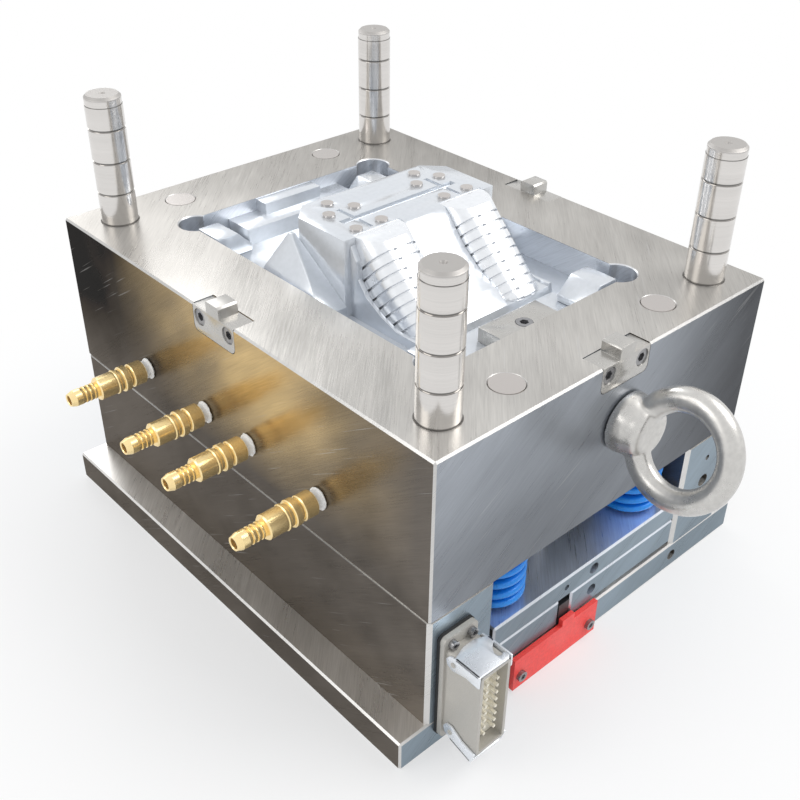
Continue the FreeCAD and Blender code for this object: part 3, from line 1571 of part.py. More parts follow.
def lever(name, upward):
    """A locking lever: a plate over the hood's end and an ear on either side of it."""
    sign = 1 if upward else -1
    pivot_z = lever_pivots["top" if upward else "bottom"]
    plate_z = d.lever_pivot_inset + d.lever_gap
    ear_x = hood_side + d.lever_gap

    def ordered(low, high):
        return (low, high) if float(low) < float(high) else (high, low)

    z_low, z_high = ordered(plate_z * sign, (plate_z + d.lever_thickness) * sign)
    ear_low, ear_high = ordered((plate_z + d.lever_thickness - d.lever_ear) * sign,
                                (plate_z + d.lever_thickness) * sign)
    ears = [block((-ear_x - d.lever_thickness, -d.lever_length, z_low),
                  (ear_x + d.lever_thickness, -d.lever_plate_start, z_high))]
    for side in (-1, 1):
        x_low, x_high = ordered(ear_x * side, (ear_x + d.lever_thickness) * side)
        ears.append(block((x_low, -d.lever_length, ear_low), (x_high, ZERO, ear_high)))
        ears.append(rod(d.lever_eye_diameter, d.lever_thickness, (x_low, ZERO, ZERO), "+X"))
    bore = rod(d.lever_pivot_diameter + 2 * d.running_clearance, d.flange_width * 2,
               (-d.flange_width, ZERO, ZERO), "+X")
    shape = cut(fused(ears, "LeverPlates"), [bore], name)
    doc.recompute()
    made = copied(shape, f"{name}Placed")
    tip = 0 if upward else float(d.lower_lever_angle)
    made.Placement = FreeCAD.Placement(
        FreeCAD.Vector(), FreeCAD.Rotation(FreeCAD.Vector(1, 0, 0), tip)
    )
    return place(made, connector_x, pivot_y, pivot_z)


node("lever_top", lever("LeverTop", upward=True))
node("lever_bottom", lever("LeverBottom", upward=False))

# Cover strip of the limit switch
cover = new_body("Cover")
cover_drawing = sketch(cover, "XZ_Plane", offset=half_length)
outline(cover_drawing, [
    (-d.cover_left, ZERO),
    (d.cover_right, ZERO),
    (d.cover_right, d.cover_height),
    (-d.cover_tab_right, d.cover_height),
    (-d.cover_tab_right, d.cover_height + d.cover_tab_rise),
    (-d.cover_tab_left, d.cover_height + d.cover_tab_rise),
    (-d.cover_tab_left, d.cover_height),
    (-d.cover_left, d.cover_height),
])
feature(cover, "Pad", cover_drawing, Length=d.cover_thickness)
cover_front = -half_length - d.cover_thickness
cover_points = [(x, cover_front, d.cover_screw_z) for x in cover_screw_places]
cover_bores = [
    rod(d.cover_screw_diameter + 2 * d.bolt_clearance, d.cover_thickness + d.overrun,
        moved(point, "-Y", d.overrun / 2), "+Y")
    for point in cover_points
]
node("switch_cover", cut(cover, cover_bores, "CoverCut"))
node("switch_cover_screws", group([
    cap_screw(point, "+Y", d.cover_screw_diameter, d.cover_screw_head_diameter,
              d.cover_screw_head_height, d.cover_thickness + d.cover_screw_reach)
    for point in cover_points
], "CoverScrews"))

switch_left = -d.switch_slot_left + d.switch_gap
switch_right = -d.switch_slot_right - d.switch_gap
switch_front = -half_length + d.switch_gap
switch_back = -plate_half_length + d.switch_slot_length - d.switch_gap
switch_top = spacer_bottom + d.switch_height
switch_mid = ((switch_left + switch_right) / 2, (switch_front + switch_back) / 2)
plunger_bore = rod(d.plunger_diameter + 2 * d.running_clearance,
                   d.plunger_seat + d.overrun, (*switch_mid, switch_top - d.plunger_seat))
switch_body = block((switch_left, switch_front, spacer_bottom),
                    (switch_right, switch_back, switch_top))
node("limit_switch", cut(switch_body, [plunger_bore], "LimitSwitch"))
node("switch_plunger", rod(
    d.plunger_diameter, retainer_bottom - d.plunger_gap - switch_top + d.plunger_seat,
    (*switch_mid, switch_top - d.plunger_seat),
))
node("stop_block_screw", cap_screw(
    gib_point, "-Z", d.gib_screw_diameter, d.gib_screw_head_diameter, d.gib_screw_head_height,
    gib_point[2] - core_floor + d.gib_screw_reach,
))


def spring():
    """A die spring of flat wire with closed ends, standing on Z = 0."""
    steps_per_turn = round(d.spring_facets.number)
    wire_height = float(d.spring_wire_height)
    length = float(spring_top - retainer_top - d.spring_end_gap * 2)
    closed = wire_height + float(d.spring_coil_gap)
    turns = (length - wire_height - 2 * closed) / float(d.spring_pitch) + 2
    outer = float(d.spring_outer) / 2
    inner = outer - float(d.spring_wire_width)
    sections = []
    for step in range(round(turns * steps_per_turn) + 1):
        turn_ = step / steps_per_turn
        start = min(turn_, 1) * closed
        end = max(turn_ - turns + 1, 0) * closed
        middle = max(min(turn_, turns - 1) - 1, 0) * float(d.spring_pitch)
        low = start + middle + end
        angle = 2 * math.pi * turn_
        sections.append([
            FreeCAD.Vector(radius * math.cos(angle), radius * math.sin(angle), low + rise)
            for radius, rise in ((inner, 0), (outer, 0), (outer, wire_height), (inner, wire_height))
        ])
    faces = []
    for near, far in zip(sections, sections[1:]):
        for one in range(4):
            other = (one + 1) % 4
            for trio in ((near[one], near[other], far[other]), (near[one], far[other], far[one])):
                faces.append(Part.Face(Part.makePolygon(list(trio) + [trio[0]])))
    for section in (sections[0], sections[-1]):
        faces.append(Part.Face(Part.makePolygon(section + [section[0]])))
    return Part.makeSolid(Part.makeShell(faces))


spring_shape = spring()
springs = []
for x, y in return_pin_places:
    thing = doc.addObject("Part::Feature", "Spring")
    thing.Shape = spring_shape
    springs.append(place(thing, x, y, retainer_top + d.spring_end_gap))
node("return_springs", group(springs, "ReturnSprings"))

# Build everything, look for faults and write the sub-parts
doc.recompute()
faults = []
for thing in doc.Objects:
    if "Invalid" in thing.State or "Error" in thing.State:
        faults.append(f"{thing.Name} ({thing.Label}) is {thing.State}")
for label, thing in NODES.items():
    shape = thing.Shape
    if shape.isNull() or not shape.isValid() or shape.Volume <= 0:
        faults.append(f"{label} has no valid solid")
for thing in doc.Objects:
    if thing.TypeId in ("PartDesign::Pocket", "PartDesign::Chamfer"):
        before = thing.BaseFeature
        if before is not None and thing.Shape.Volume > before.Shape.Volume - NEAR:
            faults.append(f"{thing.Name} takes nothing away")
if faults:
    raise RuntimeError("\n".join(faults))

os.makedirs("parts", exist_ok=True)
for label, thing in NODES.items():
    thing.Shape.exportStep(f"parts/{label}.step")
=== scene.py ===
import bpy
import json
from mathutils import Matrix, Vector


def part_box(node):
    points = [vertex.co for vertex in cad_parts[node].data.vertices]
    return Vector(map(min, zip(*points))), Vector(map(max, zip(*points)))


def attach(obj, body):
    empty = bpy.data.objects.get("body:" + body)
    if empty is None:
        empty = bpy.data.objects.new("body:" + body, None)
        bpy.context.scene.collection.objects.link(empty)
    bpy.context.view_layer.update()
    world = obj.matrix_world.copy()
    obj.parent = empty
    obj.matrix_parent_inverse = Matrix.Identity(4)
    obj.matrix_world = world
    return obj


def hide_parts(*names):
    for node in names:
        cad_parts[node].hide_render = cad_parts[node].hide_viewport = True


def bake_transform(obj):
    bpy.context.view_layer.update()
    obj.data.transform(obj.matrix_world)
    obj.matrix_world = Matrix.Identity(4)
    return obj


bl_info = {
    "name": "Injection Mould Core Half",
    "version": (1, 0, 0),
    "blender": (4, 5, 0),
    "location": "View3D > Sidebar > Mould",
    "description": "Dresses the core half of an injection mould: steels, brass, paint and fine pieces",
    "category": "Object",
}

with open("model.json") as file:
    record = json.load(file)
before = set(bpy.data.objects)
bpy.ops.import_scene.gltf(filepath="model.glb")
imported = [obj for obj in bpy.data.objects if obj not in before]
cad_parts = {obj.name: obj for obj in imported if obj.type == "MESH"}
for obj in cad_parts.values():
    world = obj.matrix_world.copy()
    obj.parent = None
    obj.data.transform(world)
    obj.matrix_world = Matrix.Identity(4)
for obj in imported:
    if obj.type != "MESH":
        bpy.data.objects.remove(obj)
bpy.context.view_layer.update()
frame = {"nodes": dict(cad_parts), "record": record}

import json
import math

import bpy
from bpy.props import FloatProperty, FloatVectorProperty, IntProperty, PointerProperty
from mathutils import Matrix, Vector

NODES = frame["nodes"]


# Settings

class StageSettings(bpy.types.PropertyGroup):
    """The room the mould stands in"""

    floor_colour: FloatVectorProperty(
        name="Floor", description="Colour of the floor", subtype="COLOR",
        default=(0.88, 0.88, 0.88), min=0, max=1,
    )
    key_power: FloatProperty(
        name="Key Light", description="Power of the large lamp above the mould's right side",
        default=14, min=0, unit="POWER",
    )
    fill_power: FloatProperty(
        name="Fill Light", description="Power of the soft lamp on the coupling side",
        default=5, min=0, unit="POWER",
    )
    lens: FloatProperty(
        name="Lens", description="Focal length of the camera", default=48.35, min=10,
    )


class FinishSettings(bpy.types.PropertyGroup):
    """Colours of the mould's metals, paint and plastics"""

    # Painted light and shade: one ground steel in lit and shaded copies, light on faces that look up,
    # dark on the coupling side and mid blue-grey on the lifting eye side
    top_steel_painted_light: FloatVectorProperty(
        name="Top Steel", description="Ground steel on faces that look up", subtype="COLOR",
        default=(0.60, 0.585, 0.56), min=0, max=1,
    )
    side_steel_painted_shade: FloatVectorProperty(
        name="Side Steel", description="Ground steel on the coupling side", subtype="COLOR",
        default=(0.17, 0.152, 0.134), min=0, max=1,
    )
    front_steel_painted_shade: FloatVectorProperty(
        name="Front Steel", description="Ground steel on the lifting eye side", subtype="COLOR",
        default=(0.28, 0.30, 0.33), min=0, max=1,
    )
    # Painted light: a lighter, bluer copy of the lifting eye side's steel below the core plate
    low_front_steel_painted_light: FloatVectorProperty(
        name="Low Front Steel", description="Steel below the core plate on the lifting eye side",
        subtype="COLOR", default=(0.33, 0.40, 0.46), min=0, max=1,
    )
    # Painted reflection: a warm golden tone that stands in for the brass couplings mirrored in the
    # coupling side's steel
    coupling_painted_reflection: FloatVectorProperty(
        name="Painted Reflection", description="Warm film above the couplings", subtype="COLOR",
        default=(0.78, 0.57, 0.28), min=0, max=1,
    )
    pocket_steel: FloatVectorProperty(
        name="Pocket Steel", description="Milled walls of the cavity pocket", subtype="COLOR",
        default=(0.74, 0.77, 0.82), min=0, max=1,
    )
    # Painted highlight on chamfers and on the joint line under the core plate; real scratches take
    # this colour too
    chamfer_highlight_and_scratch_steel: FloatVectorProperty(
        name="Edge Steel", description="Freshly cut chamfers", subtype="COLOR",
        default=(0.62, 0.62, 0.62), min=0, max=1,
    )
    brass: FloatVectorProperty(
        name="Brass", description="Turned brass of the hose couplings", subtype="COLOR",
        default=(1.0, 0.78, 0.40), min=0, max=1,
    )
    spring_blue: FloatVectorProperty(
        name="Spring Blue", description="Paint on the return springs", subtype="COLOR",
        default=(0.015, 0.28, 0.86), min=0, max=1,
    )
    cover_red: FloatVectorProperty(
        name="Cover Red", description="Paint on the switch cover strip", subtype="COLOR",
        default=(0.95, 0.075, 0.065), min=0, max=1,
    )


def stage_settings():
    return bpy.context.scene.mould_stage


def finish_settings():
    return bpy.context.scene.mould_finish


# Node building

class Nodes:
    """A node tree with short calls for the nodes that the finishes use."""

    def __init__(self, tree):
        self.tree = tree

    def add(self, kind, **inputs):
        node = self.tree.nodes.new(kind)
        for name, value in inputs.items():
            self.put(node.inputs[name.replace("_", " ")], value)
        return node

    def put(self, socket, value):
        if isinstance(value, bpy.types.NodeSocket):
            self.tree.links.new(value, socket)
        else:
            socket.default_value = value

    def math(self, operation, first, second=0.0, clamp=False):
        node = self.tree.nodes.new("ShaderNodeMath")
        node.operation = operation
        node.use_clamp = clamp
        self.put(node.inputs[0], first)
        self.put(node.inputs[1], second)
        return node.outputs[0]

    def ramp(self, value, low, high, out_low=0.0, out_high=1.0):
        node = self.tree.nodes.new("ShaderNodeMapRange")
        for index, item in enumerate((value, low, high, out_low, out_high)):
            self.put(node.inputs[index], item)
        return node.outputs[0]

    def mix(self, factor, first, second, blend="MIX"):
        node = self.tree.nodes.new("ShaderNodeMix")
        node.data_type = "RGBA"
        node.blend_type = blend
        self.put(node.inputs[0], factor)
        self.put(node.inputs[6], first)
        self.put(node.inputs[7], second)
        return node.outputs[2]

    def grey(self, value):
        """A grey colour from one number."""
        node = self.tree.nodes.new("ShaderNodeCombineColor")
        for socket in node.inputs:
            self.put(socket, value)
        return node.outputs[0]

    def stretched(self, scale, turn=(0, 0, 0)):
        """Object coordinates, turned and then scaled by an amount for each axis."""
        place = self.tree.nodes.new("ShaderNodeTexCoord")
        shrunk = [1 / amount for amount in scale]
        mapping = self.add("ShaderNodeMapping", Scale=shrunk, Rotation=turn)
        mapping.vector_type = "TEXTURE"
        self.put(mapping.inputs["Vector"], place.outputs["Object"])
        return mapping.outputs[0]

    def noise(self, scale, turn=(0, 0, 0), detail=3.0, rough=0.55):
        node = self.add("ShaderNodeTexNoise", Scale=1.0, Detail=detail, Roughness=rough)
        self.put(node.inputs["Vector"], self.stretched(scale, turn))
        return node.outputs["Fac"]


def colour4(colour, factor=1.0):
    return (colour[0] * factor, colour[1] * factor, colour[2] * factor, 1)


def new_group(name, outputs, inputs=None):
    """A node group of plain numbers: the names it puts out, and its inputs with their defaults."""
    tree = bpy.data.node_groups.new(name, "ShaderNodeTree")
    for socket_name, default in (inputs or {}).items():
        socket = tree.interface.new_socket(socket_name, in_out="INPUT", socket_type="NodeSocketFloat")
        socket.default_value = default
    for socket_name in outputs:
        tree.interface.new_socket(socket_name, in_out="OUTPUT", socket_type="NodeSocketFloat")
    start = tree.nodes.new("NodeGroupInput")
    end = tree.nodes.new("NodeGroupOutput")
    return Nodes(tree), start.outputs, end.inputs


# Turns the upright axis to lean over each face's grinding lines
ALONG_GRINDING = (0.81, 0, -2.356)


def window(nodes, value, low, high, soft):
    """A mask that is one between two values and fades out over a soft width."""
    rise = nodes.ramp(value, low - soft, low + soft)
    fall = nodes.ramp(value, high + soft, high - soft)
    return nodes.math("MULTIPLY", rise, fall)


def average(nodes, first, second):
    return nodes.math("ADD", nodes.math("MULTIPLY", first, 0.5), nodes.math("MULTIPLY", second, 0.5))


def place_parts(nodes):
    """The three object coordinates as numbers."""
    place = nodes.tree.nodes.new("ShaderNodeTexCoord").outputs["Object"]
    parts = nodes.add("ShaderNodeSeparateXYZ")
    nodes.put(parts.inputs[0], place)
    return parts.outputs


# Where the steel changes its tone, from one place to another along x, y or z: mostly painted light,
# shade and reflection, and the milled pocket
COUPLING_SIDE = (-0.1, -0.15)
REFLECTION_ALONG = (-0.13, 0.07)
REFLECTION_UP = (0.18, 0.31)
DARK_REFLECTION_ALONG = (0.06, 0.2)
DARK_REFLECTION_UP = (0.13, 0.2)
PAINTED_LIGHT_FRONT_UP = (0.17, 0.27)
SHADE_RIGHT_END = (-0.05, 0.16)
SHADED_END = (0.02, 0.16)
POCKET_ACROSS = (-0.125, 0.125)
POCKET_ALONG = (-0.17, 0.17)
POCKET_FLOOR = 0.15
SEAM_HIGHLIGHT_ALONG = (-0.2, 0.15)


def painted_light_group():
    """Where painted light goes on the mould's steel: a painted reflection of the couplings, a dark
    painted reflection and random blots on the coupling side, painted light and shade by height and
    along x, and a painted highlight on the seam.
    """
    nodes, _, out = new_group(
        "Painted Light", ["Painted Light", "Dark", "Shaded End", "Pocket", "High", "Seam", "Low", "Right End"],
    )
    x, y, z = place_parts(nodes)
    foot, parting = (corner[2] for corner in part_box("core_plate"))

    coupling_side = nodes.ramp(x, *COUPLING_SIDE)
    # Painted reflection of the brass couplings on the steel above them
    above_couplings = nodes.math("MULTIPLY", window(nodes, y, *REFLECTION_ALONG, 0.08),
                                 window(nodes, z, *REFLECTION_UP, 0.04))
    painted_reflection = nodes.math("MULTIPLY", above_couplings, coupling_side)
    cloud = nodes.noise((7, 9, 26), ALONG_GRINDING, 2.0)
    nodes.put(out["Painted Light"], nodes.math("MULTIPLY", painted_reflection, nodes.ramp(cloud, 0.3, 0.6, 0.45, 1.0)))

    # Painted shade: the coupling side darkens towards its upper +y corner, standing in for a dark
    # reflection; the random blots are real stains
    dark_reflection = nodes.math("MULTIPLY", nodes.ramp(y, *DARK_REFLECTION_ALONG),
                              nodes.ramp(z, *DARK_REFLECTION_UP))
    blots = nodes.ramp(nodes.noise((10, 10, 10)), 0.5, 0.72)
    dark = nodes.math("ADD", dark_reflection, nodes.math("MULTIPLY", blots, 0.35), clamp=True)
    nodes.put(out["Dark"], nodes.math("MULTIPLY", dark, coupling_side))

    # Painted light and shade: faces below the core plate and high front faces get lighter copies, and
    # faces towards +x get shaded ones
    core_plate = nodes.ramp(z, foot - 0.001, foot + 0.001)
    nodes.put(out["Low"], nodes.math("SUBTRACT", 1.0, core_plate))
    nodes.put(out["High"], nodes.ramp(z, *PAINTED_LIGHT_FRONT_UP))
    nodes.put(out["Right End"], nodes.ramp(x, *SHADE_RIGHT_END))
    nodes.put(out["Shaded End"], nodes.math("MULTIPLY", nodes.ramp(x, *SHADED_END), core_plate))

    over_pocket = nodes.math("MULTIPLY", window(nodes, x, *POCKET_ACROSS, 0.001),
                             window(nodes, y, *POCKET_ALONG, 0.001))
    below_parting = window(nodes, z, POCKET_FLOOR, parting - 0.0002, 0.0001)
    nodes.put(out["Pocket"], nodes.math("MULTIPLY", over_pocket, below_parting))

    # Painted highlight along the chamfered joint at the foot of the core plate, stronger towards +y
    seam = window(nodes, z, foot - 0.0009, foot + 0.0003, 0.0001)
    nodes.put(out["Seam"], nodes.math("MULTIPLY", seam, nodes.ramp(y, *SEAM_HIGHLIGHT_ALONG, 0.15, 0.9)))
    return nodes.tree


def grinding_group():
    """Fine grinding streaks, broad stains and a few scratches on ground steel."""
    nodes, given, out = new_group(
        "Grinding", ["Streaks", "Stains", "Scratches", "Height"], {"Strength": 1.0},
    )
    fine = nodes.noise((40, 40, 1500), ALONG_GRINDING, 2.0)
    broad = nodes.noise((5, 5, 60), ALONG_GRINDING, 3.0)
    streaks = average(nodes, fine, broad)
    stains = nodes.noise((4, 4, 4), (0, 0, 0), 3.0, 0.5)
    lines = nodes.noise((14, 700, 14), (0.9, 0.3, 1.1), 1.0)
    gate = nodes.noise((16, 16, 16), (1, 2, 0), 2.0)
    scratches = nodes.math(
        "MULTIPLY", nodes.ramp(lines, 0.68, 0.72), nodes.ramp(gate, 0.5, 0.62),
    )
    height = nodes.math("MULTIPLY", nodes.math("SUBTRACT", streaks, scratches), given["Strength"])
    nodes.put(out["Streaks"], streaks)
    nodes.put(out["Stains"], stains)
    nodes.put(out["Scratches"], scratches)
    nodes.put(out["Height"], height)
    return nodes.tree


def facing_group():
    """Masks for the way a face looks: along x, along y, or aslant like a chamfer."""
    nodes, _, out = new_group("Facing", ["Side", "Front", "Aslant"])
    normal = nodes.add("ShaderNodeNewGeometry").outputs["True Normal"]
    parts = nodes.add("ShaderNodeSeparateXYZ")
    nodes.put(parts.inputs[0], normal)
    x, y, z = (nodes.math("ABSOLUTE", parts.outputs[n]) for n in range(3))
    nodes.put(out["Side"], nodes.ramp(x, 0.8, 0.95))
    nodes.put(out["Front"], nodes.ramp(y, 0.8, 0.95))
    largest = nodes.math("MAXIMUM", nodes.math("MAXIMUM", x, y), z)
    nodes.put(out["Aslant"], nodes.ramp(largest, 0.85, 0.75))
    return nodes.tree


def grain_group():
    """Small random grain and wear for cast, painted and moulded pieces."""
    nodes, given, out = new_group("Grain", ["Grain", "Wear"], {"Size": 400.0})
    place = nodes.tree.nodes.new("ShaderNodeTexCoord").outputs["Object"]
    grain = nodes.add("ShaderNodeTexNoise", Detail=2.0, Roughness=0.5)
    nodes.put(grain.inputs["Vector"], place)
    nodes.put(grain.inputs["Scale"], given["Size"])
    wear = nodes.add("ShaderNodeTexNoise", Scale=45.0, Detail=6.0, Roughness=0.7)
    nodes.put(wear.inputs["Vector"], place)
    nodes.put(out["Grain"], grain.outputs["Fac"])
    nodes.put(out["Wear"], wear.outputs["Fac"])
    return nodes.tree


GROUP_MAKERS = {
    "Grinding": grinding_group, "Facing": facing_group, "Grain": grain_group, "Painted Light": painted_light_group,
}
GROUPS = {}


def use_group(nodes, name, **inputs):
    """Place a shared group in a material, building it the first time."""
    if name not in GROUPS:
        GROUPS[name] = GROUP_MAKERS[name]()
    node = nodes.tree.nodes.new("ShaderNodeGroup")
    node.node_tree = GROUPS[name]
    for socket, value in inputs.items():
        nodes.put(node.inputs[socket], value)
    return node.outputs


MATERIALS = {}


def new_material(name, colour, metallic, roughness):
    """A material with a plain Principled shader, and the calls to add to it."""
    material = bpy.data.materials.new(name)
    material.use_nodes = True
    nodes = Nodes(material.node_tree)
    shader = material.node_tree.nodes["Principled BSDF"]
    shader.inputs["Base Color"].default_value = colour4(colour)
    shader.inputs["Metallic"].default_value = metallic
    shader.inputs["Roughness"].default_value = roughness
    material.diffuse_color = colour4(colour)
    MATERIALS[name] = material
    return nodes, shader


def bump(nodes, shader, height, strength, distance=0.0005):
    node = nodes.add("ShaderNodeBump", Strength=strength, Distance=distance)
    nodes.put(node.inputs["Height"], height)
    nodes.put(shader.inputs["Normal"], node.outputs["Normal"])


def plate_steel(name, top, side, front, metallic=0.8, rough=0.3):
    """Ground plate steel, toned by the way each face looks with painted light and shade, with a
    painted reflection and painted highlights on its chamfers.
    """
    finish = finish_settings()
    highlight_and_scratch = colour4(finish.chamfer_highlight_and_scratch_steel)
    nodes, shader = new_material(name, top, metallic, rough)
    facing = use_group(nodes, "Facing")
    ground = use_group(nodes, "Grinding", Strength=1.0)
    painted_light = use_group(nodes, "Painted Light")
    # Painted shade, painted reflection and painted highlight on the coupling side, over its shaded
    # copy of the steel
    side_tone = nodes.mix(painted_light["Dark"], colour4(side), colour4(side, 0.12))
    side_tone = nodes.mix(painted_light["Painted Light"], side_tone, colour4(finish.coupling_painted_reflection))
    side_tone = nodes.mix(painted_light["Seam"], side_tone, highlight_and_scratch)
    # Painted light on faces that look up: shaded towards +x, lighter below the core plate
    top_tone = nodes.mix(painted_light["Right End"], colour4(top, 1.06), colour4(top, 0.86))
    top_tone = nodes.mix(painted_light["Low"], top_tone, colour4(top, 1.3))
    tone = nodes.mix(facing["Side"], top_tone, side_tone)
    # Painted light and shade on the lifting eye side: lighter higher up, shaded towards +x, a lighter
    # bluer copy below the core plate and a painted highlight on the seam
    front_tone = nodes.mix(painted_light["High"], colour4(front, 0.95), colour4(front, 1.6))
    front_tone = nodes.mix(painted_light["Shaded End"], front_tone, colour4(front, 0.4))
    front_tone = nodes.mix(painted_light["Low"], front_tone, colour4(finish.low_front_steel_painted_light))
    front_tone = nodes.mix(painted_light["Seam"], front_tone, highlight_and_scratch)
    tone = nodes.mix(facing["Front"], tone, front_tone)
    tone = nodes.mix(painted_light["Pocket"], tone, colour4(finish.pocket_steel))
    streak = nodes.ramp(ground["Streaks"], 0.35, 0.65, 0.87, 1.12)
    stain = nodes.ramp(ground["Stains"], 0.35, 0.65, 0.82, 1.12)
    toned = nodes.mix(1.0, tone, nodes.grey(nodes.math("MULTIPLY", streak, stain)), "MULTIPLY")
    # Painted highlight on aslant chamfers; real scratches take the same bright colour
    toned = nodes.mix(nodes.math("MULTIPLY", facing["Aslant"], 0.5), toned, highlight_and_scratch)
    toned = nodes.mix(nodes.math("MULTIPLY", ground["Scratches"], 0.3), toned, highlight_and_scratch)
    nodes.put(shader.inputs["Base Color"], toned)
    shader.inputs["Specular Tint"].default_value = (0.36, 0.34, 0.32, 1)
    roughness = nodes.ramp(ground["Streaks"], 0.3, 0.7, rough - 0.06, rough + 0.1)
    roughness = nodes.math("SUBTRACT", roughness, nodes.math("MULTIPLY", painted_light["Painted Light"], 0.17))
    nodes.put(shader.inputs["Roughness"], roughness)
    bump(nodes, shader, ground["Height"], 0.06)


def plain_metal(name, colour, metallic, rough, size=500.0, depth=0.12, contrast=0.12, spread=0.1):
    """A metal or paint with small grain in its colour, gloss and surface."""
    nodes, shader = new_material(name, colour, metallic, rough)
    grain = use_group(nodes, "Grain", Size=size)
    shade = nodes.ramp(grain["Grain"], 0.3, 0.7, 0.0, 1.0)
    toned = nodes.mix(shade, colour4(colour, 1 - contrast), colour4(colour, 1 + contrast))
    nodes.put(shader.inputs["Base Color"], toned)
    nodes.put(shader.inputs["Roughness"],
              nodes.ramp(grain["Wear"], 0.35, 0.65, max(rough - spread, 0.02), rough + spread))
    bump(nodes, shader, grain["Grain"], depth, 0.0003)


# Painted shade for the grooves of turned pieces
PAINTED_GROOVE_SHADE = (0.03, 0.028, 0.025, 1)


def turned_metal(name, colour, metallic, rough, grooves=(), tip=None):
    """A metal ground round an upright axis, with painted shade in its grooves and a darker, rougher
    tip.
    """
    nodes, shader = new_material(name, colour, metallic, rough)
    rings = nodes.noise((6, 6, 2500), detail=2.0)
    bands = nodes.noise((3, 3, 90), detail=3.0)
    shade = average(nodes, rings, bands)
    toned = nodes.mix(nodes.ramp(shade, 0.35, 0.65), colour4(colour, 0.92), colour4(colour, 1.06))
    height = place_parts(nodes)[2]
    for level, half, depth in grooves:
        # Painted shade in each groove
        groove = window(nodes, height, level - half, level + half, 0.0002)
        toned = nodes.mix(nodes.math("MULTIPLY", groove, depth), toned, PAINTED_GROOVE_SHADE)
    gloss = nodes.ramp(bands, 0.3, 0.7, rough - 0.04, rough + 0.05)
    if tip is not None:
        # The tip is made darker and rougher
        darker_tip = nodes.ramp(height, tip - 0.0035, tip - 0.0015)
        toned = nodes.mix(darker_tip, toned, colour4(colour, 0.62))
        gloss = nodes.math("ADD", gloss, nodes.math("MULTIPLY", darker_tip, 0.4))
    nodes.put(shader.inputs["Base Color"], toned)
    nodes.put(shader.inputs["Roughness"], gloss)
    bump(nodes, shader, rings, 0.08, 0.0003)


# Distance between the oil grooves of a guide pillar
OIL_GROOVE_PITCH = 0.0268


def build_materials():
    finish = finish_settings()
    plate_steel("plate_steel", finish.top_steel_painted_light, finish.side_steel_painted_shade, finish.front_steel_painted_shade)
    # Painted light and shade: lit top, shaded side and lighter front copies of the ejector plates'
    # steel
    plate_steel("ejector_steel", (0.55, 0.61, 0.70), (0.25, 0.26, 0.27), (0.56, 0.63, 0.72))
    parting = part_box("core_plate")[1][2]
    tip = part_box("guide_pillar_1")[1][2]
    # Painted shade in the oil grooves, at the start of the lead-in and at the root on the core plate
    shaded_oil_grooves = [(parting + OIL_GROOVE_PITCH * n, 0.0008, 0.75) for n in (1, 2, 3)]
    lead_in = (tip - 0.008, 0.0003, 0.6)
    root = (parting + 0.0006, 0.0008, 0.6)
    turned_metal("pillar_steel", (0.70, 0.68, 0.66), 0.96, 0.17, [*shaded_oil_grooves, lead_in, root], tip)
    turned_metal("pin_steel", (0.53, 0.50, 0.48), 0.85, 0.24)
    plain_metal("core_steel", (0.68, 0.71, 0.75), 0.65, 0.22, 260.0, 0.01, 0.03, 0.04)
    plain_metal("rib_steel", (0.84, 0.86, 0.89), 0.7, 0.24, 260.0, 0.01, 0.03, 0.04)
    plain_metal("lock_steel", (0.50, 0.49, 0.47), 0.85, 0.28, 700.0, 0.01, 0.04, 0.05)
    plain_metal("brass", finish.brass, 0.8, 0.24, 700.0, 0.005, 0.03, 0.02)
    plain_metal("bronze", (0.6, 0.4, 0.2), 0.9, 0.35)
    plain_metal("galvanised", (0.60, 0.59, 0.57), 0.92, 0.3, 260.0, 0.12, 0.06)
    plain_metal("spring_blue", finish.spring_blue, 0.1, 0.3, 500.0, 0.05, 0.06)
    plain_metal("cover_red", finish.cover_red, 0.0, 0.42, 600.0, 0.1, 0.08)
    plain_metal("black_oxide", (0.07, 0.07, 0.075), 0.7, 0.38)
    plain_metal("black_rubber", (0.02, 0.02, 0.02), 0.0, 0.6)
    plain_metal("black_plastic", (0.02, 0.02, 0.022), 0.0, 0.4)
    plain_metal("thread_tape", (0.93, 0.93, 0.92), 0.0, 0.6, 1500.0, 0.5, 0.06)
    plain_metal("cast_grey", (0.52, 0.50, 0.46), 0.35, 0.5, 1200.0, 0.25, 0.06)
    plain_metal("lever_steel", (0.84, 0.87, 0.91), 0.6, 0.25, 500.0, 0.01, 0.03, 0.04)
    plain_metal("cream_plastic", (0.86, 0.81, 0.68), 0.0, 0.45)
    plain_metal("zinc_screws", (0.30, 0.30, 0.31), 0.85, 0.3, 700.0, 0.03, 0.05)


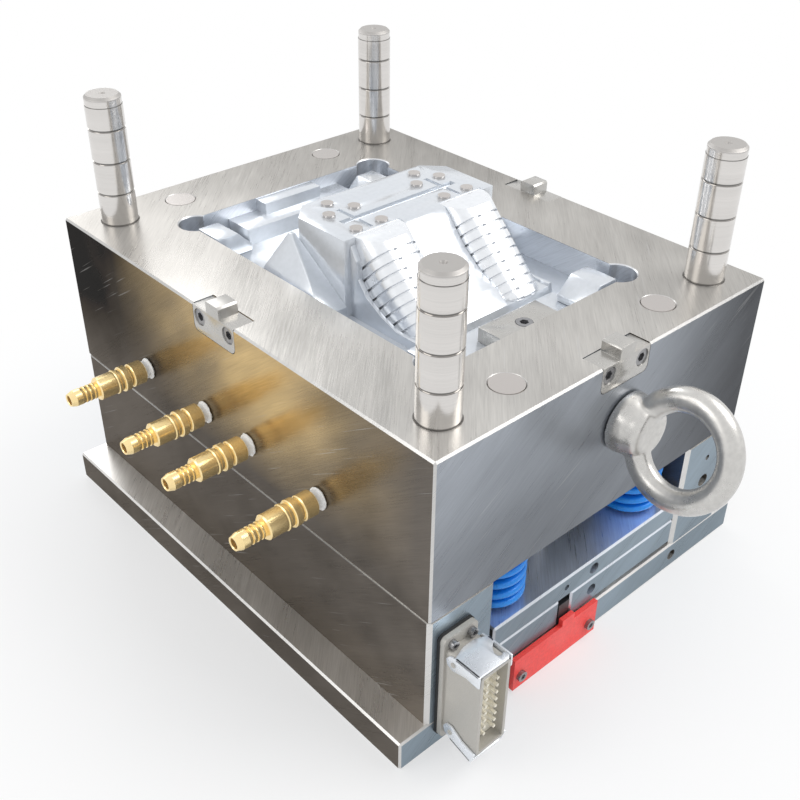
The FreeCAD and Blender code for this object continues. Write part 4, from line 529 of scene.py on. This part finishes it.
FINISH_OF = {
    "plate_steel": ["base_plate", "spacer_left", "spacer_right", "core_plate"],
    "ejector_steel": ["ejector_plate", "retainer_plate", "support_pillars", "rest_buttons"],
    "pillar_steel": [f"guide_pillar_{n}" for n in range(1, 5)] + ["ejector_guide_pins"],
    "pin_steel": [f"return_pin_{n}" for n in range(1, 5)] + ["ejector_pins"],
    "core_steel": ["core_insert", "ribbed_core_left", "ribbed_core_right", "side_cores",
                   "heel_blocks", "stop_block"],
    "lock_steel": [f"side_lock_{face}" for face in ("front", "left", "right")],
    "black_oxide": ["base_bolts", "insert_screws", "ejector_plate_screws"],
    "zinc_screws": ["switch_cover_screws", "stop_block_screw", "side_lock_screws",
                    "flange_screws"],
    "brass": ["coupler_nipples"]
    + [f"coupler_{part}_{n}" for part in ("body", "sleeve") for n in range(1, 5)],
    "bronze": ["ejector_guide_bushes"],
    "thread_tape": ["sealing_tapes"],
    "galvanised": ["eye_bolt"],
    "lever_steel": ["lever_top", "lever_bottom"],
    "spring_blue": ["return_springs"],
    "cast_grey": ["connector_housing"],
    "black_rubber": ["connector_gasket"],
    "cream_plastic": ["contact_block", "contact_pins"],
    "cover_red": ["switch_cover"],
    "black_plastic": ["limit_switch", "switch_plunger"],
}


def wear_material(thing, name):
    """Give an object one material, on whatever holds its slots."""
    if not thing.material_slots:
        thing.data.materials.append(MATERIALS[name])
    for slot in thing.material_slots:
        slot.material = MATERIALS[name]


# Stage and camera

FLOOR_LEVEL = -0.0005
# Distances from the middle between which the floor's shadow fades to white
FLOOR_FADE = (0.25, 0.55)
LAMP_TARGET = Vector((0, 0, 0.2))
CAMERA_PLACE = Vector((-0.5264, -0.5774, 0.6443))
CAMERA_FORWARD = Vector((0.5585, 0.6094, -0.5628)).normalized()
CAMERA_RIGHT = Vector((0.74127, -0.67115, 0.00891))


def background_rays(nodes):
    """A mask for the rays that show the background: seen, mirrored or through glass."""
    light_path = nodes.add("ShaderNodeLightPath")
    mirrored = nodes.math("MAXIMUM", light_path.outputs["Is Glossy Ray"],
                          light_path.outputs["Is Transmission Ray"])
    return nodes.math("MAXIMUM", light_path.outputs["Is Camera Ray"], mirrored)


class MOULD_OT_stage(bpy.types.Operator):
    """Build the floor, the lamps, the world and the camera"""

    bl_idname = "mould.stage"
    bl_label = "Stage"

    def execute(self, context):
        settings = stage_settings()
        scene = context.scene
        scene.view_settings.view_transform = "Standard"
        self.floor(settings)
        self.lamps(settings)
        self.world(scene)
        self.camera(scene, settings)
        return {"FINISHED"}

    def floor(self, settings):
        deselect()
        bpy.ops.mesh.primitive_plane_add(size=8, location=(0, 0, FLOOR_LEVEL))
        floor = bpy.context.object
        floor.name = "floor"
        material = bpy.data.materials.new("floor")
        material.use_nodes = True
        nodes = Nodes(material.node_tree)
        shader = material.node_tree.nodes["Principled BSDF"]
        shader.inputs["Base Color"].default_value = colour4(settings.floor_colour)
        shader.inputs["Roughness"].default_value = 0.9
        white = nodes.add("ShaderNodeEmission", Color=(1, 1, 1, 1), Strength=1.0)
        place = nodes.add("ShaderNodeTexCoord").outputs["Object"]
        length = nodes.add("ShaderNodeVectorMath")
        length.operation = "LENGTH"
        nodes.put(length.inputs[0], place)
        far = nodes.ramp(length.outputs["Value"], *FLOOR_FADE, 0.45, 1.0)
        mixed = nodes.add("ShaderNodeMixShader")
        nodes.put(mixed.inputs[0], nodes.math("MULTIPLY", background_rays(nodes), far))
        nodes.put(mixed.inputs[1], shader.outputs[0])
        nodes.put(mixed.inputs[2], white.outputs[0])
        nodes.put(material.node_tree.nodes["Material Output"].inputs[0], mixed.outputs[0])
        floor.data.materials.append(material)

    def lamps(self, settings):
        lamps = [
            ("key_lamp", (0.9, -0.7, 1.5), 1.2, settings.key_power, (1.0, 0.98, 0.95)),
            ("fill_lamp", (-1.3, 0.3, 1.1), 1.0, settings.fill_power, (1.0, 0.98, 0.95)),
            ("back_lamp", (0.2, 1.4, 1.2), 1.0, settings.fill_power, (1.0, 1.0, 1.0)),
        ]
        for name, place, size, power, colour in lamps:
            data = bpy.data.lights.new(name, "AREA")
            data.shape = "DISK"
            data.size = size
            data.energy = power
            data.color = colour
            lamp = bpy.data.objects.new(name, data)
            lamp.location = place
            aim = LAMP_TARGET - Vector(place)
            lamp.rotation_euler = aim.to_track_quat("-Z", "Y").to_euler()
            bpy.context.scene.collection.objects.link(lamp)

    def world(self, scene):
        world = bpy.data.worlds.new("studio")
        world.use_nodes = True
        scene.world = world
        nodes = Nodes(world.node_tree)
        output = world.node_tree.nodes["World Output"]
        soft = nodes.add("ShaderNodeBackground", Color=(0.93, 0.96, 1, 1), Strength=0.75)
        white = nodes.add("ShaderNodeBackground", Color=(1, 1, 1, 1), Strength=1.0)
        mixed = nodes.add("ShaderNodeMixShader")
        nodes.put(mixed.inputs[0], background_rays(nodes))
        nodes.put(mixed.inputs[1], soft.outputs[0])
        nodes.put(mixed.inputs[2], white.outputs[0])
        nodes.put(output.inputs[0], mixed.outputs[0])

    def camera(self, scene, settings):
        data = bpy.data.cameras.new("camera")
        data.lens = settings.lens
        data.sensor_width = 36
        camera = bpy.data.objects.new("camera", data)
        up = CAMERA_RIGHT.cross(CAMERA_FORWARD).normalized()
        right = CAMERA_FORWARD.cross(up)
        turn = Matrix((right, up, -CAMERA_FORWARD)).transposed()
        camera.matrix_world = Matrix.Translation(CAMERA_PLACE) @ turn.to_4x4()
        scene.collection.objects.link(camera)
        scene.camera = camera


class MOULD_OT_finishes(bpy.types.Operator):
    """Build the materials and give the frame's own pieces theirs"""

    bl_idname = "mould.finishes"
    bl_label = "Finishes"

    def execute(self, context):
        build_materials()
        for finish, names in FINISH_OF.items():
            for name in names:
                wear_material(NODES[name], finish)
        return {"FINISHED"}


# Mesh helpers

MERGE_DISTANCE = 0.000005


def deselect():
    if bpy.context.object and bpy.context.object.mode != "OBJECT":
        bpy.ops.object.mode_set(mode="OBJECT")
    bpy.ops.object.select_all(action="DESELECT")


def in_edit():
    bpy.ops.object.mode_set(mode="EDIT")


def in_object():
    bpy.ops.object.mode_set(mode="OBJECT")


def make_active(thing):
    deselect()
    thing.select_set(True)
    bpy.context.view_layer.objects.active = thing


def apply_place(thing):
    make_active(thing)
    bpy.ops.object.transform_apply(location=True, rotation=True, scale=True)


def with_modifier(thing, kind, **settings):
    """Add a modifier with its settings and apply it."""
    make_active(thing)
    modifier = thing.modifiers.new(kind.title(), kind)
    for name, value in settings.items():
        setattr(modifier, name, value)
    bpy.ops.object.modifier_apply(modifier=modifier.name)


def bevel(thing, width, segments=2, angle=30.0):
    with_modifier(
        thing, "BEVEL", width=width, segments=segments, limit_method="ANGLE",
        angle_limit=math.radians(angle), use_clamp_overlap=True,
    )


def smooth(thing, angle=35.0):
    make_active(thing)
    bpy.ops.object.shade_smooth_by_angle(angle=math.radians(angle))


def outward(thing):
    make_active(thing)
    in_edit()
    bpy.ops.mesh.select_all(action="SELECT")
    bpy.ops.mesh.remove_doubles(threshold=MERGE_DISTANCE)
    bpy.ops.mesh.normals_make_consistent(inside=False)
    in_object()


def joined(things, name):
    deselect()
    for thing in things:
        thing.select_set(True)
    bpy.context.view_layer.objects.active = things[0]
    if len(things) > 1:
        bpy.ops.object.join()
    result = bpy.context.object
    result.name = name
    return result


def body_of_node(node):
    bodies = frame["record"]["behaviour"]["bodies"]
    return next(body for body, nodes in bodies.items() if node in nodes)


def finished(thing, finish, body, replaced=()):
    """Settle a finished piece: its material, the body it rides on and the nodes it stands for."""
    apply_place(thing)
    wear_material(thing, finish)
    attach(thing, body)
    if replaced:
        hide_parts(*replaced)
    return thing


def copy_of(node, name):
    """A copy of a frame piece with its triangles merged back into flat faces."""
    source = NODES[node]
    mesh = source.data.copy()
    thing = bpy.data.objects.new(name, mesh)
    bpy.context.scene.collection.objects.link(thing)
    make_active(thing)
    if mesh.has_custom_normals:
        bpy.ops.mesh.customdata_custom_splitnormals_clear()
    in_edit()
    bpy.ops.mesh.select_all(action="SELECT")
    bpy.ops.mesh.remove_doubles(threshold=MERGE_DISTANCE)
    bpy.ops.mesh.dissolve_limited(angle_limit=math.radians(0.5))
    in_object()
    return thing


def softened(node, finish, width, segments=2, angle=30.0):
    """A frame piece with its sharp edges broken."""
    thing = copy_of(node, f"{node}_worked")
    bevel(thing, width, segments, angle)
    smooth(thing)
    return finished(thing, finish, body_of_node(node), [node])


def lathe(name, profile, steps, axis="Z"):
    """A closed turned shape from radius and height pairs, spun about the upright axis."""
    mesh = bpy.data.meshes.new(name)
    points = [(radius, 0, height) for radius, height in profile]
    edges = [(n, (n + 1) % len(points)) for n in range(len(points))]
    mesh.from_pydata(points, edges, [])
    thing = bpy.data.objects.new(name, mesh)
    bpy.context.scene.collection.objects.link(thing)
    make_active(thing)
    in_edit()
    bpy.ops.mesh.select_all(action="SELECT")
    bpy.ops.mesh.spin(steps=steps, angle=math.tau, center=(0, 0, 0), axis=(0, 0, 1))
    bpy.ops.mesh.select_all(action="SELECT")
    bpy.ops.mesh.remove_doubles(threshold=0.000002)
    bpy.ops.mesh.normals_make_consistent(inside=False)
    in_object()
    if axis != "Z":
        turns = {"-X": (0, -math.pi / 2, 0), "-Y": (math.pi / 2, 0, 0)}
        thing.rotation_euler = turns[axis]
        apply_place(thing)
    return thing


def moved_to(thing, place):
    thing.location = place
    apply_place(thing)
    return thing


# Worked steel blocks

SOFT_EDGES = {
    "core_insert": ("core_steel", 0.0010),
    "side_cores": ("core_steel", 0.0012),
    "heel_blocks": ("core_steel", 0.0015),
    "stop_block": ("lock_steel", 0.0008),
}


class MOULD_OT_blocks(bpy.types.Operator):
    """Break the sharp edges of the milled blocks"""

    bl_idname = "mould.blocks"
    bl_label = "Milled Blocks"

    def execute(self, context):
        for node, (finish, width) in SOFT_EDGES.items():
            softened(node, finish, width)
        for face in ("front", "left", "right"):
            softened(f"side_lock_{face}", "lock_steel", 0.0006)
        for side in ("left", "right"):
            softened(f"ribbed_core_{side}", "rib_steel", 0.00025, 1, 40)
        return {"FINISHED"}


# Springs, lifting eye and couplings

class SpringSettings(bpy.types.PropertyGroup):
    """The flat-wire die springs round the return pins"""

    pitch: FloatProperty(
        name="Pitch", description="Rise of one open turn", default=0.0100, unit="LENGTH",
    )
    wire_width: FloatProperty(
        name="Wire Width", description="Width of the wire, across the spring", default=0.0105,
        unit="LENGTH",
    )
    wire_height: FloatProperty(
        name="Wire Height", description="Height of the wire, along the spring", default=0.0055,
        unit="LENGTH",
    )
    steps: IntProperty(name="Steps", description="Facets in one turn", default=36, min=8)


def helix(name, radius, section, turns, rise, low, start_angle, steps):
    """A flat-wire helix from a rounded section, by the Screw modifier."""
    mesh = bpy.data.meshes.new(name)
    points = [(radius + x, 0, low + z) for x, z in section]
    mesh.from_pydata(points, [(n, (n + 1) % len(points)) for n in range(len(points))], [])
    thing = bpy.data.objects.new(name, mesh)
    bpy.context.scene.collection.objects.link(thing)
    with_modifier(
        thing, "SCREW", angle=math.tau * turns, screw_offset=rise, steps=round(steps * turns),
        render_steps=round(steps * turns), use_merge_vertices=False, use_smooth_shade=True,
    )
    thing.rotation_euler = (0, 0, start_angle)
    apply_place(thing)
    return thing


class MOULD_OT_springs(bpy.types.Operator):
    """Wind the four painted die springs"""

    bl_idname = "mould.springs"
    bl_label = "Return Springs"

    def execute(self, context):
        settings = context.scene.mould_springs
        low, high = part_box("return_springs")
        wide, tall = settings.wire_width / 2, settings.wire_height
        corner = tall * 0.28
        section = [
            (-wide + corner, 0), (wide - corner, 0), (wide, corner), (wide, tall - corner),
            (wide - corner, tall), (-wide + corner, tall), (-wide, tall - corner), (-wide, corner),
        ]
        closed_rise = tall * 1.04
        length = high[2] - low[2]
        open_rise = length - tall - 2 * closed_rise
        open_turns = open_rise / settings.pitch
        for number in range(1, 5):
            pin_low, pin_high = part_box(f"return_pin_{number}")
            x = (pin_low[0] + pin_high[0]) / 2
            y = (pin_low[1] + pin_high[1]) / 2
            radius = high[0] - abs(x) - wide
            parts = []
            angle = 0.0
            start = low[2]
            for turns, rise in ((1, closed_rise), (open_turns, open_rise), (1, closed_rise)):
                parts.append(helix("wire", radius, section, turns, rise, start, angle,
                                   settings.steps))
                angle += math.tau * turns
                start += rise
            spring = joined(parts, f"return_spring_{number}")
            outward(spring)
            close_ends(spring)
            smooth(spring, 50)
            moved_to(spring, (x, y, 0))
            wear_material(spring, "spring_blue")
            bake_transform(spring)
            if number == 1:
                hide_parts("return_springs")
        return {"FINISHED"}


def close_ends(thing):
    """Fill the open ends of a wound or swept piece."""
    make_active(thing)
    in_edit()
    bpy.ops.mesh.select_all(action="DESELECT")
    bpy.ops.mesh.select_mode(type="EDGE")
    bpy.ops.mesh.select_non_manifold(extend=False, use_wire=False, use_multi_face=False,
                                     use_non_contiguous=False, use_verts=False)
    bpy.ops.mesh.edge_face_add()
    bpy.ops.mesh.select_mode(type="VERT")
    in_object()


EYE_RING_RADIUS = 0.036
EYE_ROD_RADIUS = 0.0094
EYE_TILT = math.radians(107)
# Radius and distance from the face, round the collar and the neck
EYE_COLLAR = [
    (0, 0.0005), (0.0225, 0.0005), (0.0236, 0.0016), (0.0234, 0.0060),
    (0.0222, 0.0115), (0.0208, 0.0165), (0.0198, 0.0208), (0.0186, 0.0232),
    (0.0160, 0.0245), (0.0125, 0.0250), (0, 0.0250),
]


class MOULD_OT_lifting_eye(bpy.types.Operator):
    """Cast the lifting eye: ring, neck and collar run into one another"""

    bl_idname = "mould.lifting_eye"
    bl_label = "Lifting Eye"

    def execute(self, context):
        mounts = {mount["name"]: mount for mount in frame["record"]["mounts"]}
        ring_place = Vector(mounts["lifting_eye"]["pos_m"])
        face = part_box("core_plate")[0][1]
        deselect()
        bpy.ops.mesh.primitive_torus_add(
            major_radius=EYE_RING_RADIUS, minor_radius=EYE_ROD_RADIUS, major_segments=96,
            minor_segments=32, location=ring_place, rotation=(0, EYE_TILT, 0),
        )
        ring = bpy.context.object
        collar = lathe("collar", EYE_COLLAR, 64, "-Y")
        moved_to(collar, (ring_place.x, face, ring_place.z))
        eye = joined([ring, collar], "lifting_eye")
        apply_place(eye)
        with_modifier(eye, "REMESH", mode="VOXEL", voxel_size=0.0011)
        with_modifier(eye, "SMOOTH", factor=0.5, iterations=6)
        smooth(eye, 60)
        finished(eye, "galvanised", "mould_base", ["eye_bolt"])
        return {"FINISHED"}


# Radius and distance from the face: thick at the face, slim where a sleeve slides over it
TAPE_SECTION = [
    (0.0066, 0.0003), (0.0080, 0.0003), (0.0090, 0.0008), (0.0092, 0.0016),
    (0.0087, 0.0021), (0.0076, 0.0024), (0.0073, 0.0034), (0.0075, 0.0046),
    (0.0073, 0.0056), (0.0070, 0.0064), (0.0066, 0.0064),
]


class MOULD_OT_sealing_tape(bpy.types.Operator):
    """Wrap lumpy white tape round the thread of each coupling"""

    bl_idname = "mould.sealing_tape"
    bl_label = "Sealing Tape"

    def execute(self, context):
        clouds = bpy.data.textures.new("tape_lumps", "CLOUDS")
        clouds.noise_scale = 0.0035
        clouds.noise_depth = 2
        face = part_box("core_plate")[0][0]
        wraps = []
        for number in range(1, 5):
            low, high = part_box(f"coupler_body_{number}")
            wrap = lathe("wrap", TAPE_SECTION, 72, "-X")
            make_active(wrap)
            in_edit()
            bpy.ops.mesh.select_all(action="SELECT")
            bpy.ops.mesh.subdivide(number_cuts=1)
            in_object()
            moved_to(wrap, (face, (low[1] + high[1]) / 2, (low[2] + high[2]) / 2))
            with_modifier(wrap, "DISPLACE", texture=clouds, strength=0.0014, mid_level=0.62,
                          texture_coords="GLOBAL")
            wraps.append(wrap)
        tapes = joined(wraps, "sealing_tape_wraps")
        smooth(tapes, 60)
        finished(tapes, "thread_tape", "mould_base",
                 ["sealing_tapes"])
        return {"FINISHED"}


class LeverSettings(bpy.types.PropertyGroup):
    """The locking levers of the connector"""

    thickness: FloatProperty(
        name="Thickness", description="Thickness of the lever's sheet", default=0.0016,
        unit="LENGTH",
    )
    lift: FloatProperty(
        name="Lift", description="Height of the lever's plate over its pivot", default=0.0054,
        unit="LENGTH",
    )
    rounding: FloatProperty(
        name="Rounding", description="Radius of the corners of the sheet's outline",
        default=0.0012, unit="LENGTH",
    )


def sheet(name, corners, low, high, rounding):
    """A flat sheet with a rounded outline, from one height to another."""
    mesh = bpy.data.meshes.new(name)
    mesh.from_pydata([(x, y, low) for x, y in corners], [], [range(len(corners))])
    thing = bpy.data.objects.new(name, mesh)
    bpy.context.scene.collection.objects.link(thing)
    make_active(thing)
    in_edit()
    bpy.ops.mesh.select_all(action="SELECT")
    bpy.ops.mesh.bevel(offset=rounding, segments=3, affect="VERTICES", clamp_overlap=True)
    bpy.ops.mesh.select_all(action="SELECT")
    bpy.ops.mesh.extrude_region_move(TRANSFORM_OT_translate={"value": (0, 0, high - low)})
    bpy.ops.mesh.select_all(action="SELECT")
    bpy.ops.mesh.normals_make_consistent(inside=False)
    in_object()
    return thing


# The hook on a lever's plate, across and along it
LEVER_HOOK = [
    (0.0050, -0.0240), (0.0090, -0.0242), (0.0128, -0.0238), (0.0148, -0.0205),
    (0.0122, -0.0178), (0.0100, -0.0196), (0.0078, -0.0188), (0.0070, -0.0150),
    (0.0100, -0.0105),
]
# The ear at a lever's side, from its pivot to the plate
LEVER_EAR = [
    (-0.0060, 0.0), (-0.0055, -0.0038), (-0.0010, -0.0070), (0.0040, -0.0058),
    (0.0062, -0.0010), (0.0050, 0.0040), (0.0030, 0.0110), (0.0038, 0.0238),
    (-0.0070, 0.0238), (-0.0070, 0.0010),
]
BOTTOM_LEVER_DROP = math.radians(16)


class MOULD_OT_levers(bpy.types.Operator):
    """Cut the connector's two locking levers with their hooks"""

    bl_idname = "mould.levers"
    bl_label = "Locking Levers"

    def execute(self, context):
        settings = context.scene.mould_levers
        joints = {joint["name"]: joint for joint in frame["record"]["behaviour"]["joints"]}
        for side, sign in (("top", 1), ("bottom", -1)):
            pivot = Vector(joints[f"lever_{side}_hinge"]["pos_m"])
            low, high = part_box(f"lever_{side}")
            half = (high[0] - low[0]) / 2
            outline = [(-half, -0.0010), (-half, -0.0235), *LEVER_HOOK, (half, -0.0060),
                       (half, -0.0010), (0.0060, 0.0030), (-0.0040, 0.0030)]
            parts = [sheet("plate", outline, settings.lift, settings.lift + settings.thickness,
                           settings.rounding)]
            for x in (-half, half - settings.thickness):
                blade = sheet("ear", LEVER_EAR, 0, settings.thickness, settings.rounding)
                blade.rotation_euler = (0, math.pi / 2, 0)
                blade.location = (x, 0, 0)
                apply_place(blade)
                blade.scale = (1, -1, 1)
                apply_place(blade)
                parts.append(blade)
            lever = joined(parts, f"lever_{side}_cut")
            lever.scale = (1, 1, sign)
            apply_place(lever)
            if side == "bottom":
                lever.rotation_euler = (BOTTOM_LEVER_DROP, 0, 0)
            lever.location = ((low[0] + high[0]) / 2, pivot.y, pivot.z)
            apply_place(lever)
            outward(lever)
            bevel(lever, 0.0003, 2, 40)
            smooth(lever, 35)
            finished(lever, "lever_steel", f"lever_{side}",
                     [f"lever_{side}"])
        return {"FINISHED"}


PIECES = (
    MOULD_OT_stage, MOULD_OT_finishes, MOULD_OT_blocks, MOULD_OT_springs, MOULD_OT_lifting_eye,
    MOULD_OT_sealing_tape, MOULD_OT_levers,
)


class MOULD_PT_panel(bpy.types.Panel):
    """Lists the pieces of the mould"""

    bl_idname = "MOULD_PT_panel"
    bl_label = "Mould"
    bl_space_type = "VIEW_3D"
    bl_region_type = "UI"
    bl_category = "Mould"

    def draw(self, context):
        for settings in (getattr(context.scene, name) for name in SETTINGS):
            box = self.layout.box()
            for name in settings.__annotations__:
                box.prop(settings, name)
        for piece in PIECES:
            self.layout.operator(piece.bl_idname)


SETTINGS = {
    "mould_stage": StageSettings,
    "mould_finish": FinishSettings,
    "mould_springs": SpringSettings,
    "mould_levers": LeverSettings,
}


def register():
    for kind in (*SETTINGS.values(), *PIECES, MOULD_PT_panel):
        bpy.utils.register_class(kind)
    for name, kind in SETTINGS.items():
        setattr(bpy.types.Scene, name, PointerProperty(type=kind))


def unregister():
    for name in SETTINGS:
        delattr(bpy.types.Scene, name)
    for kind in reversed((*SETTINGS.values(), *PIECES, MOULD_PT_panel)):
        bpy.utils.unregister_class(kind)


def main():
    register()
    for piece in PIECES:
        group, name = piece.bl_idname.split(".")
        getattr(getattr(bpy.ops, group), name)()


if __name__ == "__main__":
    main()
